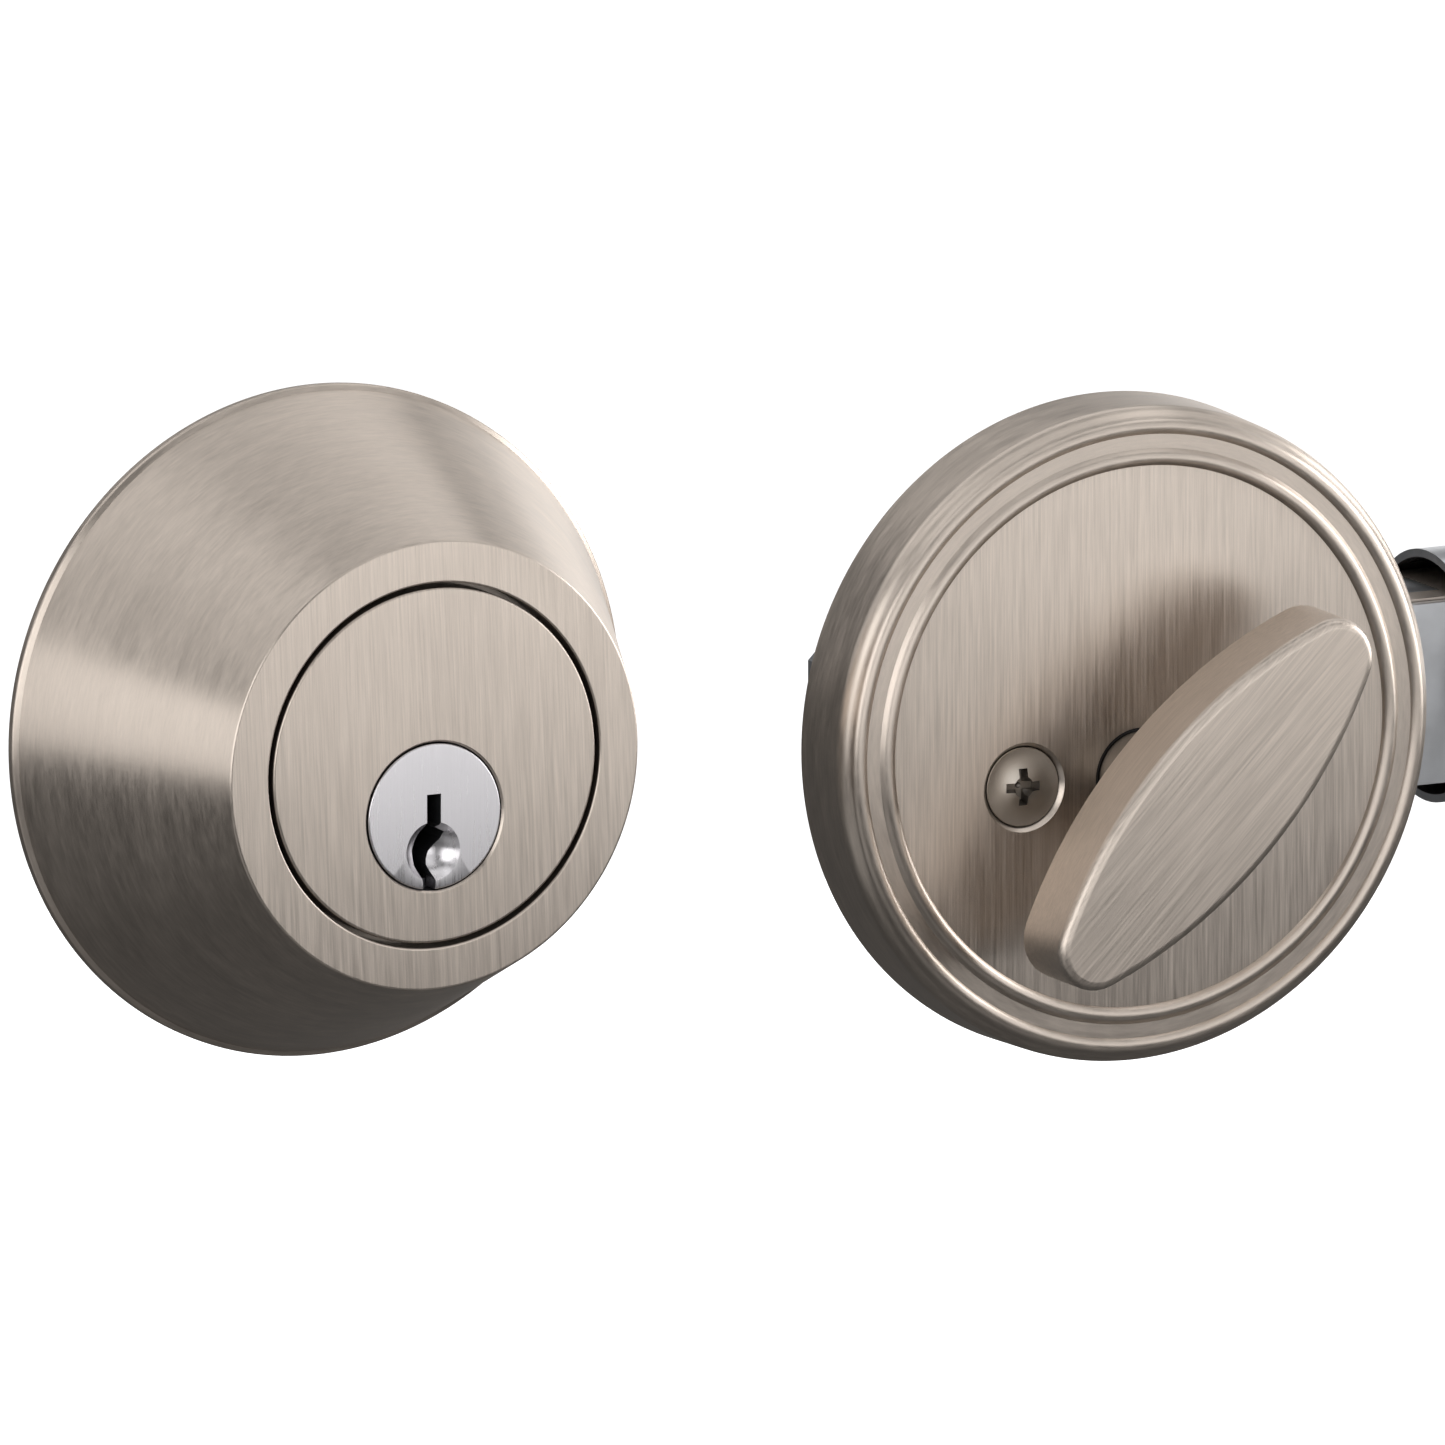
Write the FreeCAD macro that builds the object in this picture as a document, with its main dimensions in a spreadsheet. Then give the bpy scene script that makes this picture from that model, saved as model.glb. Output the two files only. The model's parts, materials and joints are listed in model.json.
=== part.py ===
"""Deadbolt door lock: exterior cylinder half, interior thumbturn half and bolt unit.

Row frame, in millimetres: X to the right, Y into the door, Z up. The origin is on the
thumbturn's axis, in the plane of the door face that both halves sit on. The bolt unit lies
behind the interior half, where the torque blade runs through its crank, and throws
towards +X. The exterior half sits beside the interior one and faces the same way.
"""

import FreeCAD, Part
import math
import os
import Sketcher

DRIVING = {
    # places of the halves
    "exterior_x": -85.8, "exterior_z": 7.1, "collar_rise": 5.0, "rose_rise": 3.9,
    # exterior collar and its liner
    "collar_back_radius": 33.0, "collar_front_radius": 22.0, "collar_depth": 25.8,
    "collar_rim": 1.0, "collar_rim_step": 0.5, "collar_hole_radius": 18.2,
    "collar_lip": 2.6, "collar_wall": 2.4, "edge_break": 0.35,
    "liner_gap": 0.35, "liner_wall": 1.5, "liner_front": 20.6, "liner_lip": 1.2,
    # cylinder housing
    "disc_radius": 17.33, "disc_depth": 3.0, "flange_radius": 19.8, "flange_thick": 2.0,
    "housing_radius": 17.0, "housing_back": 3.0, "post_radius": 4.2, "post_back": 14.0,
    "post_spacing": 12.6, "thread_radius": 2.1, "thread_front": 8.0,
    # key plug, cap and cam
    "plug_radius": 6.35, "plug_head_radius": 7.15, "plug_head_depth": 2.0,
    "head_bore_radius": 7.3, "running_gap": 0.05, "plug_back": 2.8,
    "plug_stub_radius": 5.4, "plug_stub_back": 6.0,
    "keyway_width": 1.5, "keyway_top": 2.2, "keyway_bottom": 5.9, "ward_width": 2.6,
    "scoop_radius": 2.95, "scoop_depth": 1.1, "scoop_drop": 3.4,
    "cap_radius": 8.4, "cap_front": 3.1, "cap_back": 9.6, "cap_hole_radius": 4.4,
    "cam_radius": 6.8, "cam_front": 6.2, "cam_thick": 2.2, "cam_hub_radius": 4.2,
    "cam_back": 11.5, "cam_slot_width": 2.6, "cam_slot_height": 7.0,
    # pin tumblers
    "chamber_radius": 1.5, "tumbler_radius": 1.42, "first_chamber": 20.2,
    "chamber_pitch": 3.97, "driver_length": 5.2, "cover_bottom": 20.6,
    "cover_thick": 0.8, "cover_width": 4.4, "spring_radius": 1.05, "spring_wire": 0.2,
    "drill_pin_radius": 1.25, "drill_pin_x": 9.4, "drill_pin_y": 18.5, "drill_pin_span": 11.0,
    # interior rose
    "rose_radius": 32.6, "rose_front_radius": 32.4, "rose_side": 6.9,
    "rose_disc": 8.5, "rose_band": 8.55, "rose_wall": 1.6,
    "edge_inner_radius": 31.8, "edge_inner_depth": 7.9, "edge_round": 0.9,
    "bead_inner_radius": 29.8, "bead_round": 1.15, "band_inner_radius": 28.35,
    "disc_outer_radius": 26.7, "inner_bead_round": 1.0,
    "hub_hole_radius": 5.2, "boss_radius": 4.0, "screw_hole_radius": 2.6,
    "sink_radius": 4.4, "plate_radius": 28.5, "plate_thick": 1.6, "plate_hole_radius": 9.5,
    # thumbturn
    "lean_angle": 45.0, "blade_length": 45.2, "blade_width": 15.8, "blade_tip_radius": 4.2,
    "blade_front": 25.1, "blade_thick": 8.2, "blade_edge_round": 1.0,
    "neck_radius": 4.5, "neck_top_radius": 4.3, "neck_front": 8.8,
    "hub_radius": 4.3, "hub_end": 2.2, "clip_front": 3.6, "clip_thick": 0.8,
    "clip_groove_radius": 3.85, "clip_radius": 6.2, "clip_opening": 5.0,
    "bushing_gap": 0.06, "bushing_back": 4.2, "bushing_flange_radius": 7.4,
    "washer_front": 4.1, "washer_thick": 0.4, "washer_inner_radius": 4.6,
    "washer_outer_radius": 6.2,
    "torque_width": 2.2, "torque_height": 6.4, "torque_gap": 0.1, "torque_front": 9.9,
    "torque_back": 44.0, "torque_socket": 10.0,
    # mounting screws
    "screw_radius": 2.4, "screw_head_radius": 3.95, "screw_head_front": 8.2,
    "screw_dome": 0.55, "screw_end": 32.5, "cross_length": 4.1, "cross_width": 1.07,
    "cross_depth": 1.3,
    # bolt unit
    "bolt_y": 22.225, "backset": 69.85, "throw": 25.4, "mid_angle": 45.0,
    "bolt_thick": 13.5, "bolt_height": 18.5, "bolt_length": 42.0, "bolt_bevel": 1.0,
    "roller_radius": 3.04, "roller_bore_radius": 3.1, "roller_length": 31.5,
    "roller_plug_length": 4.8, "bore_length": 37.0,
    "crank_hub_radius": 6.4, "journal_radius": 5.9, "hub_half": 6.9, "journal_half": 8.6,
    "arm_half_width": 4.2, "arm_thick": 3.0, "arm_tip": 19.6,
    "fork_half_width": 2.45, "fork_floor": 11.1,
    "drive_height": 12.7, "drive_pin_radius": 1.3, "drive_pin_half": 3.8,
    "tail_low": 6.8, "tail_high": 9.2, "tail_top": 15.0, "tail_half": 3.4,
    "tail_inner": 1.9, "tail_end": 2.6, "tail_root": 7.0, "tail_gap": 0.1,
    "rivet_radius": 1.0, "rivet_depth": 1.8,
    "case_half": 7.0, "case_plate_thick": 1.2, "case_left": 16.0, "case_right": 47.9,
    "case_half_height": 9.0, "tongue_end": 53.0, "tongue_half_height": 8.0,
    "case_corner": 3.0, "case_hub_hole_radius": 5.95, "case_rivet_radius": 1.4,
    "case_shoulder_radius": 1.85, "case_head_radius": 2.0, "case_head_thick": 0.7,
    "sleeve_radius": 12.5, "sleeve_wall": 0.8, "sleeve_start": 48.0,
    "faceplate_width": 25.4, "faceplate_height": 57.2, "faceplate_thick": 2.0,
    "faceplate_corner": 6.35, "inner_plate_thick": 1.0, "plate_gap": 0.1,
    "opening_gap": 0.2, "wood_screw_z": 20.6, "wood_screw_radius": 2.0,
    "wood_screw_head_radius": 4.0, "wood_screw_length": 19.0,
    "wood_hole_radius": 2.3,
}

KEY_PIN_LENGTHS = (4.2, 5.4, 4.8, 5.7, 4.5)
CASE_RIVET_PLACES = ((-13.6, 4.5), (-13.0, -6.6), (9.0, -7.0))
SPRING_TURNS = 7

doc = FreeCAD.newDocument("DeadboltDoorLock")
sheet = doc.addObject("Spreadsheet::Sheet", "Sizes")
for row, (alias, number) in enumerate(DRIVING.items(), start=1):
    sheet.set(f"A{row}", alias)
    sheet.set(f"B{row}", str(number))
    sheet.setAlias(f"B{row}", alias)
doc.recompute()


class Size:
    """A number together with the spreadsheet formula that gives it."""

    def __init__(self, value, formula=None):
        self.value = float(value)
        self.formula = formula or repr(float(value))

    def __add__(self, other):
        other = sized(other)
        return Size(self.value + other.value, f"({self.formula} + {other.formula})")

    def __sub__(self, other):
        other = sized(other)
        return Size(self.value - other.value, f"({self.formula} - {other.formula})")

    def __rsub__(self, other):
        return sized(other) - self

    def __mul__(self, factor):
        return Size(self.value * factor, f"({self.formula} * {factor!r})")

    def __truediv__(self, divisor):
        return Size(self.value / divisor, f"({self.formula} / {divisor!r})")

    def __neg__(self):
        return self * -1.0


def sized(item):
    return item if isinstance(item, Size) else Size(item)


def dim(alias):
    """The driving dimension of this name, as a Size bound to its cell."""
    return Size(DRIVING[alias], f"Sizes.{alias}")


def bind(obj, prop, size):
    size = sized(size)
    obj.setExpression(prop, size.formula)


def place(obj, x=0.0, y=0.0, z=0.0, turn=None):
    """Bind an object's Placement; turn is an angle about +Y."""
    if turn is not None:
        spin = FreeCAD.Rotation(FreeCAD.Vector(0, 1, 0), sized(turn).value)
        obj.Placement = FreeCAD.Placement(FreeCAD.Vector(0, 0, 0), spin)
        bind(obj, "Placement.Rotation.Angle", turn)
    for axis, size in (("x", x), ("y", y), ("z", z)):
        bind(obj, f"Placement.Base.{axis}", size)


# ---- solids from primitives -------------------------------------------------------------

ALONG = {
    "X": FreeCAD.Rotation(FreeCAD.Vector(0, 1, 0), 90),
    "Y": FreeCAD.Rotation(FreeCAD.Vector(1, 0, 0), -90),
    "Z": FreeCAD.Rotation(),
}


def turned_solid(kind, name, axis, start, end, across, radii):
    """A round primitive along an axis from start to end; across places it on the other two."""
    solid = doc.addObject(kind, name)
    solid.Placement = FreeCAD.Placement(FreeCAD.Vector(0, 0, 0), ALONG[axis])
    for prop, radius in radii.items():
        bind(solid, prop, radius)
    bind(solid, "Height", sized(end) - start)
    others = [a for a in "XYZ" if a != axis]
    for letter, size in ((axis, start), (others[0], across[0]), (others[1], across[1])):
        bind(solid, f"Placement.Base.{letter.lower()}", size)
    return solid


def cylinder(name, axis, radius, start, end, across=(0.0, 0.0)):
    return turned_solid("Part::Cylinder", name, axis, start, end, across, {"Radius": radius})


def cone(name, axis, start_radius, end_radius, start, end, across=(0.0, 0.0)):
    radii = {"Radius1": start_radius, "Radius2": end_radius}
    return turned_solid("Part::Cone", name, axis, start, end, across, radii)


def box(name, x_span, y_span, z_span):
    solid = doc.addObject("Part::Box", name)
    for prop, letter, (low, high) in zip(
        ("Length", "Width", "Height"), "xyz", (x_span, y_span, z_span)
    ):
        bind(solid, prop, sized(high) - low)
        bind(solid, f"Placement.Base.{letter}", low)
    return solid


def fuse(name, *solids):
    joined = doc.addObject("Part::MultiFuse", name)
    joined.Shapes = list(solids)
    return joined


def cut(name, base, *tools):
    result = doc.addObject("Part::Cut", name)
    result.Base = base
    result.Tool = tools[0] if len(tools) == 1 else fuse(f"{name}_tools", *tools)
    return result


def group(name, solids):
    bundle = doc.addObject("Part::Compound", name)
    bundle.Links = list(solids)
    return bundle


def both_ways(half):
    half = sized(half)
    return (-half, half)


# ---- bodies from sketches ---------------------------------------------------------------


class Arc:
    """A round stretch to the next outline point; side is +1 or -1 for the way it bulges."""

    def __init__(self, radius, side):
        self.radius, self.side = radius, side


def sketch_on(body, role, name):
    plane = next(f for f in body.Origin.OriginFeatures if f.Role == role)
    sketch = body.newObject("Sketcher::SketchObject", name)
    sketch.AttachmentSupport = (plane, [""])
    sketch.MapMode = "FlatFace"
    return sketch


def constrain(sketch, kind, places, size):
    index = sketch.addConstraint(Sketcher.Constraint(kind, *places, size.value))
    sketch.setExpression(f"Constraints[{index}]", size.formula)


def arc_between(start, end, radius, side):
    """The short arc from start to end that bulges left (+1) or right (-1), run anticlockwise."""
    chord = end - start
    left = FreeCAD.Vector(-chord.y, chord.x, 0).normalize()
    centre = (start + end) * 0.5 - left * (side * math.sqrt(radius**2 - (chord.Length / 2) ** 2))
    first, last = (end, start) if side > 0 else (start, end)
    angles = [math.atan2(point.y - centre.y, point.x - centre.x) for point in (first, last)]
    circle = Part.Circle(centre, FreeCAD.Vector(0, 0, 1), radius)
    return Part.ArcOfCircle(circle, *angles)


def outline(sketch, items):
    """Draw a closed outline through (u, v) points, with an Arc item where a side is round."""
    points, arcs = [], {}
    for item in items:
        if isinstance(item, Arc):
            arcs[len(points) - 1] = item
        else:
            points.append((sized(item[0]), sized(item[1])))
    corners = [FreeCAD.Vector(u.value, v.value, 0) for u, v in points]
    starts = []
    for number, start in enumerate(corners):
        end = corners[(number + 1) % len(corners)]
        if number in arcs:
            radius, side = sized(arcs[number].radius).value, arcs[number].side
            edge = sketch.addGeometry(arc_between(start, end, radius, side), False)
            starts.append((edge, 2, 1) if side > 0 else (edge, 1, 2))
        else:
            edge = sketch.addGeometry(Part.LineSegment(start, end), False)
            starts.append((edge, 1, 2))
    for number, (edge, _, tail) in enumerate(starts):
        following, head, _ = starts[(number + 1) % len(starts)]
        sketch.addConstraint(Sketcher.Constraint("Coincident", edge, tail, following, head))
    for number, (edge, head, _) in enumerate(starts):
        for kind, axis_line, size in zip(("DistanceX", "DistanceY"), (-2, -1), points[number]):
            if size.value == 0.0:
                sketch.addConstraint(Sketcher.Constraint("PointOnObject", edge, head, axis_line))
            else:
                constrain(sketch, kind, (-1, 1, edge, head), size)
        if number in arcs:
            constrain(sketch, "Radius", (edge,), sized(arcs[number].radius))


def revolved(name, items):
    """A body turned about its Y axis from an outline of (radius, y) points."""
    body = doc.addObject("PartDesign::Body", name)
    sketch = sketch_on(body, "XY_Plane", f"{name}_profile")
    outline(sketch, items)
    turn = body.newObject("PartDesign::Revolution", f"{name}_turn")
    turn.Profile = sketch
    turn.ReferenceAxis = (sketch, ["V_Axis"])
    turn.Angle = 360.0
    return body


def padded(name, role, items, length, offset=0.0, midplane=False):
    """A body padded from an outline on one of its origin planes."""
    body = doc.addObject("PartDesign::Body", name)
    sketch = sketch_on(body, role, f"{name}_profile")
    bind(sketch, "AttachmentOffset.Base.z", offset)
    outline(sketch, items)
    pad = body.newObject("PartDesign::Pad", f"{name}_pad")
    pad.Profile = sketch
    pad.Midplane = midplane
    bind(pad, "Length", length)
    return body


parts = {}


def keep(node, obj, x=0.0, y=0.0, z=0.0, turn=None):
    """File a finished sub-part under its node name, at its place in the row frame."""
    obj.Label = node
    place(obj, x, y, z, turn)
    parts[node] = obj


# ---- exterior half: local origin on the plug's axis in the door plane ----------------------

EXTERIOR = {"x": dim("exterior_x"), "z": dim("exterior_z")}
COLLAR = {"x": dim("exterior_x"), "z": dim("exterior_z") + dim("collar_rise")}


def cylinder_collar():
    back, front = dim("collar_back_radius"), dim("collar_front_radius")
    hole, depth, lip = dim("collar_hole_radius"), dim("collar_depth"), dim("collar_lip")
    rim, step, corner = dim("collar_rim"), dim("collar_rim_step"), dim("edge_break")
    wall = dim("collar_wall")
    body = revolved("collar", [
        (back, 0.0),
        (back, -rim),
        (back - step, -rim - step / 2),
        (front + corner, -depth + corner),
        Arc(corner * 1.2, 1),
        (front, -depth),
        (hole + corner, -depth),
        (hole, -depth + corner),
        (hole, -depth + lip),
        (front - wall + 1.0, -depth + lip),
        (back - wall, 0.0),
    ])
    keep("cylinder_collar", body, **COLLAR)


def security_liner():
    front, gap, wall = dim("liner_front"), dim("liner_gap"), dim("liner_wall")
    back_radius = dim("collar_back_radius") - dim("collar_wall") - gap - 0.1
    front_radius = dim("collar_front_radius") - dim("collar_wall") + 2.1 - gap
    lip = dim("liner_lip")
    body = revolved("liner", [
        (back_radius, -0.1),
        (front_radius, -front),
        (dim("housing_radius") + 0.1, -front),
        (dim("housing_radius") + 0.1, -front + lip),
        (front_radius - wall, -front + lip),
        (back_radius - wall, -0.1),
    ])
    keep("security_liner", body, **COLLAR)


def cylinder_housing():
    disc, depth, corner = dim("disc_radius"), dim("collar_depth"), dim("edge_break")
    flange_front = -depth + dim("disc_depth")
    flange_back = flange_front + dim("flange_thick")
    blank = revolved("housing_blank", [
        (0.0, -depth),
        (disc - corner, -depth),
        (disc, -depth + corner),
        (disc, flange_front),
        (dim("flange_radius"), flange_front),
        (dim("flange_radius"), flange_back),
        (dim("housing_radius"), flange_back),
        (dim("housing_radius"), dim("housing_back")),
        (0.0, dim("housing_back")),
    ])
    place(blank, z=dim("collar_rise"))
    spacing, post_back = dim("post_spacing"), dim("post_back")
    posts = [
        cylinder(f"post_{i}", "Y", dim("post_radius"), 0.0, post_back, (x, 0.0))
        for i, x in enumerate((-spacing, spacing))
    ]
    threads = [
        cylinder(f"post_thread_{i}", "Y", dim("thread_radius"), -dim("thread_front"),
                 post_back, (x, 0.0))
        for i, x in enumerate((-spacing, spacing))
    ]
    bore = cylinder("plug_bore", "Y", dim("plug_radius") + dim("running_gap"),
                    -depth, dim("housing_back"))
    head = cylinder("head_bore", "Y", dim("head_bore_radius"), -depth,
                    -depth + dim("plug_head_depth") + 0.15)
    chambers = [
        cylinder(f"housing_chamber_{i}", "Z", dim("chamber_radius"), 0.0, dim("cover_bottom"),
                 (0.0, chamber_y(i)))
        for i in range(len(KEY_PIN_LENGTHS))
    ]
    slot = box("cover_slot", both_ways(dim("cover_width") / 2), cover_span(),
               (dim("cover_bottom"), dim("cover_bottom") + 3.0))
    drill_x, drill_y = dim("drill_pin_x"), -dim("drill_pin_y")
    drills = [
        cylinder(f"drill_hole_{i}", "Z", dim("drill_pin_radius"), *drill_span(), (x, drill_y))
        for i, x in enumerate((-drill_x, drill_x))
    ]
    solid = fuse("housing_solid", blank, *posts)
    housing = cut("housing", solid, bore, head, *threads, *chambers, slot, *drills)
    keep("cylinder_housing", housing, **EXTERIOR)
    rods = [
        cylinder(f"drill_rod_{i}", "Z", dim("drill_pin_radius"), *drill_span(), (x, drill_y))
        for i, x in enumerate((-drill_x, drill_x))
    ]
    keep("drill_pins", group("drill_rods", rods), **EXTERIOR)


def chamber_y(index):
    """How far a pin chamber stands from the door plane."""
    return dim("chamber_pitch") * float(index) - dim("first_chamber")


def cover_span():
    margin = 2.2
    return (chamber_y(0) - margin, chamber_y(len(KEY_PIN_LENGTHS) - 1) + margin)


def drill_span():
    middle, half = dim("collar_rise"), dim("drill_pin_span") / 2
    return (middle - half, middle + half)


def key_plug():
    depth, head_back = dim("collar_depth"), dim("plug_head_depth") - dim("collar_depth")
    head, radius, stub = dim("plug_head_radius"), dim("plug_radius"), dim("plug_stub_radius")
    corner = dim("edge_break")
    blank = revolved("plug_blank", [
        (0.0, -depth),
        (head - corner, -depth),
        (head, -depth + corner),
        (head, head_back),
        (radius, head_back),
        (radius, dim("plug_back")),
        (stub, dim("plug_back")),
        (stub, dim("plug_stub_back")),
        (0.0, dim("plug_stub_back")),
    ])
    slot = box("keyway_slot", both_ways(dim("keyway_width") / 2), (-depth, dim("plug_back")),
               (-dim("keyway_bottom"), dim("keyway_top")))
    ward = box("keyway_ward", (-dim("keyway_width") / 2, dim("ward_width") / 2),
               (-depth, dim("plug_back")), (-dim("keyway_bottom") + 1.2, -dim("keyway_bottom") + 2.4))
    scoop = cone("key_scoop", "Y", dim("scoop_radius"), 0.8, -depth,
                 -depth + dim("scoop_depth"), (0.0, -dim("scoop_drop")))
    chambers = [
        cylinder(f"plug_chamber_{i}", "Z", dim("chamber_radius"), 0.0, radius + 1.0,
                 (0.0, chamber_y(i)))
        for i in range(len(KEY_PIN_LENGTHS))
    ]
    keep("key_plug", cut("plug", blank, slot, ward, scoop, *chambers), **EXTERIOR)


def tumblers():
    radius, shear = dim("tumbler_radius"), dim("plug_radius")
    key_pins, driver_pins, springs = [], [], []
    driver_bottom = shear + 0.1
    driver_top = driver_bottom + dim("driver_length")
    waist = 0.45
    for i, length in enumerate(KEY_PIN_LENGTHS):
        across = (0.0, chamber_y(i))
        top = shear - 0.3
        shank = cylinder(f"key_pin_shank_{i}", "Z", radius, top - length + 1.0, top, across)
        tip = cone(f"key_pin_tip_{i}", "Z", 0.5, radius, top - length, top - length + 1.0, across)
        key_pins.append(fuse(f"key_pin_{i}", shank, tip))
        solid = cylinder(f"driver_solid_{i}", "Z", radius, driver_bottom, driver_top, across)
        if i % 2:
            driver_pins.append(solid)
        else:
            bottom, top_end = driver_bottom + 1.2, driver_top - 1.2
            ring = cylinder(f"spool_outer_{i}", "Z", radius + 0.2, bottom, top_end, across)
            core = cylinder(f"spool_core_{i}", "Z", radius - waist, bottom, top_end, across)
            driver_pins.append(cut(f"driver_pin_{i}", solid, cut(f"spool_ring_{i}", ring, core)))
        springs.append(tumbler_spring(chamber_y(i).value, driver_top.value))
    keep("key_pins", group("key_pin_set", key_pins), **EXTERIOR)
    keep("driver_pins", group("driver_pin_set", driver_pins), **EXTERIOR)
    coil = doc.addObject("Part::Feature", "tumbler_springs")
    coil.Shape = Part.makeCompound(springs)
    keep("pin_springs", coil, **EXTERIOR)
    thick = dim("cover_thick")
    strip = box("cover_strip", both_ways(dim("cover_width") / 2), cover_span(),
                (dim("cover_bottom"), dim("cover_bottom") + thick))
    keep("pin_cover", group("cover_strip_set", [strip]), **EXTERIOR)


def tumbler_spring(y, bottom):
    """A coil spring between a driver pin and the chamber cover, swept along a helix."""
    wire, radius = DRIVING["spring_wire"], DRIVING["spring_radius"]
    height = DRIVING["cover_bottom"] - bottom - 2 * wire - 0.1
    helix = Part.makeHelix(height / SPRING_TURNS, height, radius)
    section = Part.makeCircle(wire, FreeCAD.Vector(radius, 0, 0), FreeCAD.Vector(0, 1, 0))
    coil = Part.Wire(helix.Edges).makePipeShell([Part.Wire([section])], True, True)
    coil.translate(FreeCAD.Vector(0, y, bottom + wire + 0.05))
    return coil


def plug_cap_and_cam():
    front, back = dim("cap_front"), dim("cap_back")
    stub, stub_back = dim("plug_stub_radius"), dim("plug_stub_back")
    pocket = dim("cam_radius") + 0.2
    cap = revolved("cap", [
        (stub, front),
        (dim("cap_radius"), front),
        (dim("cap_radius"), back),
        (dim("cap_hole_radius"), back),
        (dim("cap_hole_radius"), back - 1.0),
        (pocket, back - 1.0),
        (pocket, stub_back),
        (stub, stub_back),
    ])
    pin_hole = cylinder("cap_pin_hole", "Y", 0.6, front, front + 2.0, (0.0, 6.6))
    keep("plug_cap", cut("cap_drilled", cap, pin_hole), **EXTERIOR)
    cap_pin = cylinder("cap_locking_pin", "Y", 0.6, 0.0, 2.0)
    keep("cap_pin", cap_pin, EXTERIOR["x"], front, EXTERIOR["z"] + 6.6)
    cam_front, cam_mid = dim("cam_front"), dim("cam_front") + dim("cam_thick")
    disc = cylinder("cam_disc", "Y", dim("cam_radius"), cam_front, cam_mid)
    hub = cylinder("cam_hub", "Y", dim("cam_hub_radius"), cam_front, dim("cam_back"))
    half_width, half_height = dim("cam_slot_width") / 2, dim("cam_slot_height") / 2
    flare = 1.0
    slot = padded("cam_slot", "XZ_Plane", [
        (-half_width - flare, half_height),
        (-half_width, 0.0),
        (-half_width - flare, -half_height),
        (half_width + flare, -half_height),
        (half_width, 0.0),
        (half_width + flare, half_height),
    ], dim("cam_back") - cam_front - 1.0, -dim("cam_back"))
    keep("driver_cam", cut("cam", fuse("cam_solid", disc, hub), slot), **EXTERIOR)


# ---- interior half ------------------------------------------------------------------------

ROSE = {"z": dim("rose_rise")}


def interior_rose():
    side, disc, band, wall = (dim(n) for n in ("rose_side", "rose_disc", "rose_band", "rose_wall"))
    edge_depth = dim("edge_inner_depth")
    shell = revolved("rose_shell", [
        (dim("rose_radius"), 0.0),
        (dim("rose_front_radius"), -side),
        Arc(dim("edge_round"), 1),
        (dim("edge_inner_radius"), -edge_depth),
        Arc(dim("bead_round"), 1),
        (dim("bead_inner_radius"), -band),
        (dim("band_inner_radius"), -band),
        Arc(dim("inner_bead_round"), 1),
        (dim("disc_outer_radius"), -disc),
        (0.0, -disc),
        (0.0, -disc + wall),
        (dim("rose_front_radius") - wall, -disc + wall),
        (dim("rose_radius") - wall, 0.0),
    ])
    drop = -dim("rose_rise")
    spacing = dim("post_spacing")
    sink_depth = dim("sink_radius") - dim("screw_hole_radius")
    bosses, holes, sinks = [], [], []
    for i, x in enumerate((-spacing, spacing)):
        across = (x, drop)
        bosses.append(cylinder(f"rose_boss_{i}", "Y", dim("boss_radius"), -disc + 1.0,
                               -dim("plate_thick") - 0.05, across))
        holes.append(cylinder(f"rose_screw_hole_{i}", "Y", dim("screw_hole_radius"),
                              -disc - 1.0, 0.0, across))
        sinks.append(cone(f"rose_sink_{i}", "Y", dim("sink_radius"), dim("screw_hole_radius"),
                          -disc, -disc + sink_depth, across))
    hub_hole = cylinder("rose_hub_hole", "Y", dim("hub_hole_radius"), -disc - 1.0,
                        -disc + wall + 1.0, (0.0, drop))
    rose = cut("rose", fuse("rose_solid", shell, *bosses), hub_hole, *holes, *sinks)
    keep("interior_rose", rose, **ROSE)


def mounting_plate():
    drop, thick = -dim("rose_rise"), dim("plate_thick")
    disc = cylinder("plate_disc", "Y", dim("plate_radius"), -thick, 0.0)
    centre = cylinder("plate_centre_hole", "Y", dim("plate_hole_radius"), -thick, 0.0, (0.0, drop))
    spacing = dim("post_spacing")
    holes = [
        cylinder(f"plate_hole_{i}", "Y", dim("screw_hole_radius"), -thick, 0.0, (x, drop))
        for i, x in enumerate((-spacing, spacing))
    ]
    keep("mounting_plate", cut("plate", disc, centre, *holes), **ROSE)


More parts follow.
